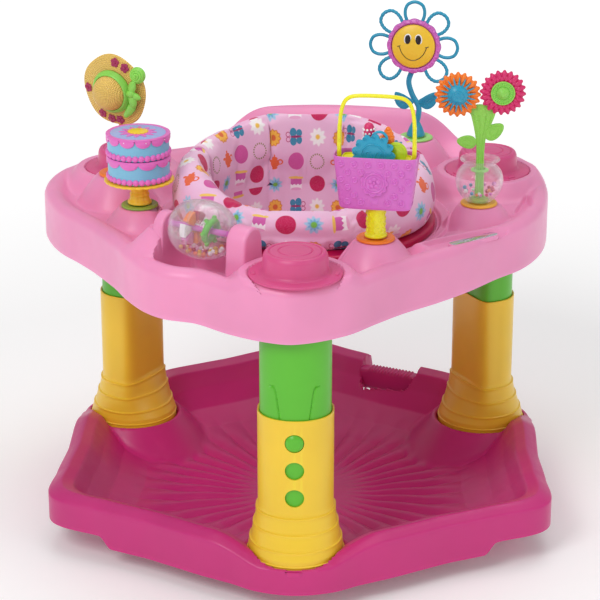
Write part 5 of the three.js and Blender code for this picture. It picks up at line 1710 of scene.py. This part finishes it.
def printed_fabric():
    """Pale pink cloth with a three by three repeat of dots, flowers, butterflies, cakes and teapots."""
    s = Shade("printed_fabric")
    split = s.tree.nodes.new("ShaderNodeSeparateXYZ")
    s.feed(split.inputs[0], s.node("ShaderNodeUVMap", uv_map="print"))
    u, v = split.outputs[0], split.outputs[1]
    column, row = s.floor(u), s.floor(v)
    cell = s.node("ShaderNodeCombineXYZ", {0: column, 1: row})
    quarter = s.floor(s.mul(s.node("ShaderNodeTexWhiteNoise", {"Vector": cell}, noise_dimensions="2D"), 4.0))
    angle = s.mul(quarter, math.pi / 2)
    cu, cv = s.sub(s.sub(u, column), 0.5), s.sub(0.5, s.sub(v, row))
    c, n = s.cos(angle), s.sin(angle)
    x = s.sub(s.mul(cu, c), s.mul(cv, n))
    y = s.add(s.mul(cu, n), s.mul(cv, c))
    ax = s.abs(x)
    r = s.sqrt(s.add(s.mul(x, x), s.mul(y, y)))
    phi = s.calc("ARCTAN2", y, x)
    column3 = s.modulo(column, 3.0)
    row3 = s.modulo(row, 3.0)
    state = {"color": s.mix(s.ramp(s.noise(14.0, 3.0), 0.3, 0.7), srgb(238, 186, 219), srgb(244, 202, 228))}

    def here(col, line):
        return s.mul(s.calc("COMPARE", column3, col, 0.5), s.calc("COMPARE", row3, line, 0.5))

    def oval(cx, cy, rx, ry, px=None):
        """Distance-like value, below 1 inside an ellipse."""
        dx = s.div(s.sub(x if px is None else px, cx), rx)
        dy = s.div(s.sub(y, cy), ry)
        return s.sqrt(s.add(s.mul(dx, dx), s.mul(dy, dy)))

    def inside(value, limit, soft=0.02):
        if isinstance(limit, float):
            return s.ramp(value, limit - soft, limit + soft, 1.0, 0.0)
        return s.ramp(s.sub(value, limit), -soft, soft, 1.0, 0.0)

    def ring(value, radius, half):
        return inside(s.abs(s.sub(value, radius)), half, 0.012)

    def petals(radius, depth, count, turned=0.0):
        wave = s.cos(s.add(s.mul(phi, float(count)), turned))
        return s.add(s.mul(wave, depth), radius)

    def paint(where, mask, color):
        state["color"] = s.mix(s.mul(where, mask), state["color"], color)

    spot = here(0, 0)
    paint(spot, inside(r, petals(0.325, 0.02, 11)), srgb(226, 132, 34))
    paint(spot, inside(r, petals(0.275, 0.035, 11)), srgb(250, 190, 62))
    paint(spot, s.mul(inside(s.abs(s.cos(s.mul(phi, 5.5))), 0.1, 0.06), inside(r, 0.26)), srgb(232, 146, 40))
    paint(spot, inside(r, 0.12), srgb(222, 104, 34))
    spot = here(1, 0)
    for cy, rx, ry, cx in ((0.11, 0.18, 0.15, 0.17), (-0.16, 0.15, 0.13, 0.145)):
        paint(spot, inside(oval(cx, cy, rx, ry, ax), 1.0, 0.06), srgb(36, 140, 172))
    paint(spot, inside(oval(0.0, -0.01, 0.045, 0.26), 1.0, 0.15), srgb(150, 34, 96))
    antenna = s.mul(ring(s.mul(oval(0.1, 0.34, 0.1, 0.1, ax), 0.1), 0.09, 0.016), s.ramp(y, 0.25, 0.27))
    paint(spot, antenna, srgb(190, 50, 110))
    spot = here(2, 0)
    paint(spot, inside(r, petals(0.32, 0.045, 9), 0.04), srgb(252, 250, 248))
    paint(spot, inside(r, 0.1, 0.03), srgb(244, 200, 70))
    spot = here(0, 1)
    teapot = ((0.0, -0.05, 0.23, 0.21), (0.0, 0.17, 0.15, 0.08), (0.0, 0.29, 0.05, 0.06),
              (-0.27, 0.06, 0.1, 0.055),
              (0.0, -0.27, 0.14, 0.05))
    for cx, cy, rx, ry in teapot:
        paint(spot, inside(oval(cx, cy, rx, ry), 1.0, 0.06), srgb(236, 102, 42))
    paint(spot, ring(oval(0.26, 0.0, 1.0, 1.0), 0.11, 0.032), srgb(236, 102, 42))
    paint(here(1, 1), inside(r, 0.37, 0.012), srgb(212, 84, 160))
    beads = s.mul(ring(r, 0.31, 0.035), s.ramp(s.cos(s.mul(phi, 20.0)), -0.5, 0.1))
    paint(here(2, 1), beads, srgb(150, 132, 74))
    spot = here(0, 2)
    paint(spot, inside(r, petals(0.3, 0.05, 9), 0.04), srgb(158, 206, 232))
    paint(spot, inside(r, petals(0.19, 0.04, 9, 1.6), 0.03), srgb(112, 176, 216))
    paint(spot, inside(r, 0.115), srgb(112, 190, 60))
    spot = here(1, 2)
    paint(spot, inside(oval(0.0, -0.26, 0.35, 0.075), 1.0, 0.08), srgb(244, 206, 92))
    body = s.mul(inside(ax, 0.26, 0.012), inside(s.abs(y), 0.22, 0.012))
    paint(spot, body, srgb(214, 98, 176))
    drip = s.add(s.mul(s.cos(s.mul(x, 36.0)), 0.035), 0.06)
    icing = s.mul(s.ramp(s.sub(y, drip), -0.012, 0.012), inside(y, 0.27, 0.012))
    paint(spot, s.mul(inside(ax, 0.27, 0.012), icing), srgb(252, 244, 248))
    paint(spot, inside(oval(0.0, 0.26, 0.25, 0.06), 1.0, 0.1), srgb(236, 170, 208))
    paint(here(2, 2), inside(r, 0.37, 0.012), srgb(200, 16, 84))

    weave = s.mul(s.sin(s.mul(u, 60 * TAU)), s.sin(s.mul(v, 60 * TAU)))
    crumple = s.bump(s.noise(26.0, 4.0, 0.55), 0.32, 0.004)
    mottle_and_edge_highlight = s.mix(s.ramp(s.noise(700.0), 0.3, 0.8, 0.0, 0.14), state["color"], srgb(226, 160, 200))
    s.set(color=mottle_and_edge_highlight, rough=0.84, normal=s.bump(weave, 0.22, 0.0003, crumple), sheen=0.25, sheen_rough=0.5,
          spec=0.25, sss=0.05, sss_scale=0.004)
    return s.mat


FABRIC = printed_fabric()

# ------------------------------------------------------------------ padded seat

SEAMS = (15, 68, 112, 165, 236, 304)
# the cushion round the seat, as [plan angle, value]: height and radius of its crest, half breadth, outer radius
SEAT_TOP = periodic([
    (0, 475), (15, 484), (30, 493), (50, 498), (70,
                                                500), (90,
                                                       500), (111, 499), (122, 496), (133, 493), (148, 489),
    (160, 484), (172, 480), (186, 476), (200,
                                         471), (212, 464), (224, 456), (236, 450.5), (252, 449), (270, 449),
    (288, 449), (304, 450.5), (316, 456), (330, 464), (345, 470)], 360)
SEAT_CREST = periodic([
    (0, 143), (45, 145), (90, 146), (135, 145), (180, 142), (208, 138), (236, 136), (270, 137), (304, 136),
    (332, 138)], 360)
SEAT_BROAD = periodic([
    (0, 15), (35, 8), (90, 6.5), (145, 8), (180,
                                            15), (205, 19), (236, 14), (270, 12), (304, 14), (335, 19)], 360)
SEAT_OUT = periodic([
    (0, 167), (45, 160), (90, 156), (135, 160), (180, 167), (205, 168), (236, 160), (270, 156.5), (304, 160),
    (335, 168)], 360)
CUSHION_FOOT, PUFF_LIMIT = 402.5, 0.0055
# the print's repeat, in degrees round the seat and in millimetres up it, and where each panel was cut from it:
# the angle of a motif's centre, its height inside, and its distance from the crest outside
PRINT_TURN, PRINT_RISE = 12.6, 33
PANELS = {0: (96.3, 469, 37), 1: (62, 477, 30), 2: (96.3, 469, 37), 3: (133.5, 487, 24), 4: (96.3, 469, 37)}
WINGS = {4: (196, 38), 0: (344, -38)}


def cushion_profile(angle):
    """Section of the cushion at one plan angle, as [r, z], from its outer foot over the crest."""
    top, crest, broad, out = (float(curve(angle)) for curve in (SEAT_TOP, SEAT_CREST, SEAT_BROAD, SEAT_OUT))
    foot = CUSHION_FOOT
    rise = top - foot
    front = math.exp(-((angle - 270) / 30) ** 2)
    shoulder = crest + broad + 2
    face = crest - broad - 2
    pts = np.array([
        (out - 9, foot), (out - 1.5, foot + 0.16 * rise), (out - 6.5 * front, foot + 0.38 * rise),
        (out * 0.55 + shoulder * 0.45, foot + 0.68 * rise), (shoulder - 3, top - 5), (crest, top),
        (face + 4, top - 4.5), (face - 1, top - 17), (face * 0.5 + 131 * 0.5 - 4, foot + 0.45 * rise),
        (131.4, foot + 4), (134, foot)])
    gap = min(abs((angle - a + 180) % 360 - 180) for a in SEAMS) * rad(1) * crest
    centre = pts.mean(0)
    return centre + (pts - centre) * (1 - 0.10 * math.exp(-(gap / 3.2) ** 2))


def print_uv(theta, side, arc, z):
    """Where the print lies on each sewn panel, in repeats. side is 1 outside and -1 inside."""
    theta = np.mod(theta, 360)
    panel = np.searchsorted(SEAMS, theta) % 6
    rise = side * arc / PRINT_RISE
    # the front roll, then the back and sides, then the two wings with their cloth turned
    u, v = (theta - 264) / PRINT_TURN + 2.5, rise - 21 / PRINT_RISE + 2.5
    for index, (centre, height, drop) in PANELS.items():
        u = np.where(panel == index, (centre - theta) / PRINT_TURN + 1.5, u)
        v = np.where(panel == index, np.where(side < 0, height - z, arc - drop) / PRINT_RISE + 0.5, v)
    for index, (centre, tilt) in WINGS.items():
        along, t = (np.mod(theta - centre + 180, 360) - 180) / PRINT_TURN, rad(tilt)
        u = np.where(panel == index, along * math.cos(t) - rise * math.sin(t) + 0.3, u)
        v = np.where(panel == index, along * math.sin(t) + rise * math.cos(t) + 0.8, v)
    return u, v


def face_uv(o, per_face):
    """UV map written face by face, so that neighbouring panels can be cut from different places."""
    mesh = o.data
    layer = mesh.uv_layers.new(name="print")
    loops = np.zeros(len(mesh.loops), np.int32)
    mesh.loops.foreach_get("vertex_index", loops)
    totals = np.zeros(len(mesh.polygons), np.int32)
    mesh.polygons.foreach_get("loop_total", totals)
    owner = np.repeat(np.arange(len(totals)), totals)
    co = np.zeros(len(mesh.vertices) * 3)
    mesh.vertices.foreach_get("co", co)
    co = co.reshape(-1, 3) / MM
    middle = np.zeros((len(totals), 3))
    np.add.at(middle, owner, co[loops])
    middle /= totals[:, None]
    uv = per_face(co, loops, owner, middle)
    layer.data.foreach_set("uv", np.stack(uv, 1).astype(np.float32).ravel())


def unwrapped(theta, middle):
    """Angles of a face's corners brought to within half a turn of its middle."""
    return middle + np.mod(theta - middle + 180, 360) - 180


def seat_cushion():
    around, along = ((420, 55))
    spans = 11
    angles = np.arange(around) * 360 / around
    rows = np.zeros((along, around, 3))
    arcs = np.zeros((along, around))
    crest_row = along * 5 // spans
    for j, a in enumerate(angles):
        loop = spline(cushion_profile(a), along, closed=True)
        steps = np.linalg.norm(np.diff(np.vstack([loop, loop[:1]]), axis=0), axis=1)
        run = np.concatenate([[0], np.cumsum(steps)[:-1]])
        arcs[:, j] = np.abs(run - run[crest_row])
        rows[:, j] = np.stack([loop[:, 0] * math.cos(rad(a)), loop[:, 0] * math.sin(rad(a)), loop[:, 1]], 1)
    p = Part().grid(rows, along=True)
    o = p.make("seat_cushion", FABRIC, "seat", "seat_pad", "printed_fabric", shade=60)
    flat_arc = arcs.ravel()

    def uv(co, loops, owner, middle):
        side_row = np.zeros(len(middle))
        np.add.at(side_row, owner, np.minimum(loops // around, along - 1))
        side_row /= np.bincount(owner)
        side = np.where(side_row < crest_row, 1, -1)[owner]
        mid = np.degrees(np.arctan2(middle[:, 1], middle[:, 0]))
        panel_angle = mid[owner]
        theta = unwrapped(np.degrees(np.arctan2(co[loops, 1], co[loops, 0])), panel_angle)
        u, v = print_uv(panel_angle, side, flat_arc[loops], co[loops, 2])
        du, dv = print_uv(panel_angle + 0.01, side, flat_arc[loops], co[loops, 2])
        slope_u, slope_v = (du - u) / 0.01, (dv - v) / 0.01
        delta = theta - panel_angle
        return u + slope_u * delta, v + slope_v * delta

    face_uv(o, uv)
    puff(o, rows)


def seam_gap(angles):
    """Degrees to the nearest seam."""
    return np.min([np.abs(np.mod(angles - a + 180, 360) - 180) for a in SEAMS], 0)


def puff(o, rows):
    """Blows the sewn cushion up a little between its seams, held at the foot and along every seam."""
    held = o.vertex_groups.new(name="held")
    around = rows.shape[1]
    seams = seam_gap(np.arange(around) * 360 / around) < 0.9
    fixed = (rows[:, :, 2] < CUSHION_FOOT + 3) | seams[None, :]
    held.add(np.flatnonzero(fixed.ravel()).tolist(), 1.0, "REPLACE")
    before = np.zeros(len(o.data.vertices) * 3)
    o.data.vertices.foreach_get("co", before)
    cloth = o.modifiers.new("puff", "CLOTH")
    q = cloth.settings
    q.quality, q.mass, q.vertex_group_mass, q.pin_stiffness = 6, 0.25, "held", 1.0
    q.tension_stiffness = q.compression_stiffness = 12
    q.bending_stiffness, q.shear_stiffness = 0.3, 6
    q.use_pressure, q.uniform_pressure_force = True, 4.0
    q.effector_weights.gravity = 0.0
    q.shrink_min = -0.05
    cloth.collision_settings.use_collision = False
    last = 20
    cloth.point_cache.frame_start, cloth.point_cache.frame_end = 1, last
    for f in range(1, last + 1):
        bpy.context.scene.frame_set(f)
    apply_modifiers(o)
    bpy.context.scene.frame_set(1)
    after = np.zeros(len(before))
    o.data.vertices.foreach_get("co", after)
    shift = (after - before).reshape(-1, 3)
    length = np.linalg.norm(shift, axis=1)
    shift *= np.minimum(1, PUFF_LIMIT / np.maximum(length, 1e-9))[:, None]
    o.data.vertices.foreach_set("co", (before.reshape(-1, 3) + shift).ravel())
    shade_smooth(o, 60)


BUCKET = [(132.0, 402.1), (131.5, 380), (130, 350), (121, 315), (101, 286), (70, 268), (35, 259), (3, 257)]
BUCKET_OUT = [(144.5, 402.1), (144, 380), (141, 350), (131, 310), (109, 278), (76, 259),
              (38, 250.5), (3, 249)]


def seat_bucket():
    around, along = ((300, 70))
    angles = np.radians(np.arange(around) * 360 / around)
    gap = seam_gap(np.degrees(angles))

    def skin(profile):
        """One layer of cloth, drawn in at the seams and gently rippled between them."""
        made = []
        for r, z in spline(profile, along):
            fold = 1.6 * np.exp(-(gap * rad(1) * max(r, 30) / 4.0) ** 2) * float(smooth(260, 300, z))
            ripple = 0.9 * np.sin(9 * angles
                                  + 0.06 * z) * float(smooth(399, 370, z)) * float(smooth(258, 300, z))
            made.append(polar(r + fold + ripple, np.degrees(angles), z))
        return made

    p = Part().grid(skin(BUCKET) + skin(BUCKET_OUT)[::-1], along=True)
    o = p.make("seat_bucket", FABRIC, "seat", "seat_sling", "printed_fabric", shade=60)
    for side in (1, -1):
        leg_hole = move(side * 56, -88, 292) @ turn("Z", side * 24) @ turn("X", 142)
        cut(o, Part().lathe([(0, -80), (46, -80), (46, 80), (0, 80)], 64, leg_hole))
    line = spline(BUCKET, 400)
    run = np.concatenate([[0], np.cumsum(np.linalg.norm(np.diff(line, axis=0), axis=1))])

    def uv(co, loops, owner, middle):
        mid = np.degrees(np.arctan2(middle[:, 1], middle[:, 0]))[owner]
        c = co[loops]
        theta = unwrapped(np.degrees(np.arctan2(c[:, 1], c[:, 0])), mid)
        r = np.hypot(c[:, 0], c[:, 1])
        nearest = np.argmin((r[:, None] - line[None, :, 0]) ** 2
                            + (c[:, 2][:, None] - line[None, :, 1]) ** 2, 1)
        low = (np.hypot(middle[:, 0], middle[:, 1]) < 92)[owner]
        centre, height, _ = PANELS[2]
        u, v = (centre - theta) / PRINT_TURN + 1.5, (height - 401.2 + run[nearest]) / PRINT_RISE + 0.5
        return np.where(low, -c[:, 0] / PRINT_RISE + 0.5, u), np.where(low, -c[:, 1] / PRINT_RISE + 0.5, v)

    face_uv(o, uv)


# ------------------------------------------------------------------ assembly

base_saucer()
for leg in LEG_ANGLES:
    outer_leg(leg)
    inner_leg(leg)
    height_button(leg)
    bounce_spring(leg)
    leg_cap(leg)
play_tray()
globe_brackets()
tray_mirror()
for toy in TOYS:
    toy_socket(toy)
seat_ring()
seat_bucket()
seat_cushion()
sun_hat()
cake()
globe()
purse()
sunflower()
vase()

# the CAD pieces that are shown as they are
for node, look in {"stabilizer_foot_right": BASE, "stabilizer_foot_left": BASE, "stabilizer_foot_back": BASE,
                   "seat_retainer": CRIMSON}.items():
    mesh = frame["nodes"][node].data
    mesh.materials.clear()
    mesh.materials.append(look)
    shade_smooth(frame["nodes"][node], 35)

stage()
light("key", (-1.6, -2.6, 2.9), (0, 0, 0.3), 1.5, 52)
light("fill", (2.6, -1.8, 1.6), (0, 0, 0.3), 1.6, 10)
light("top", (0.2, 0.6, 3.2), (0, 0, 0.3), 2.4, 30)
camera()
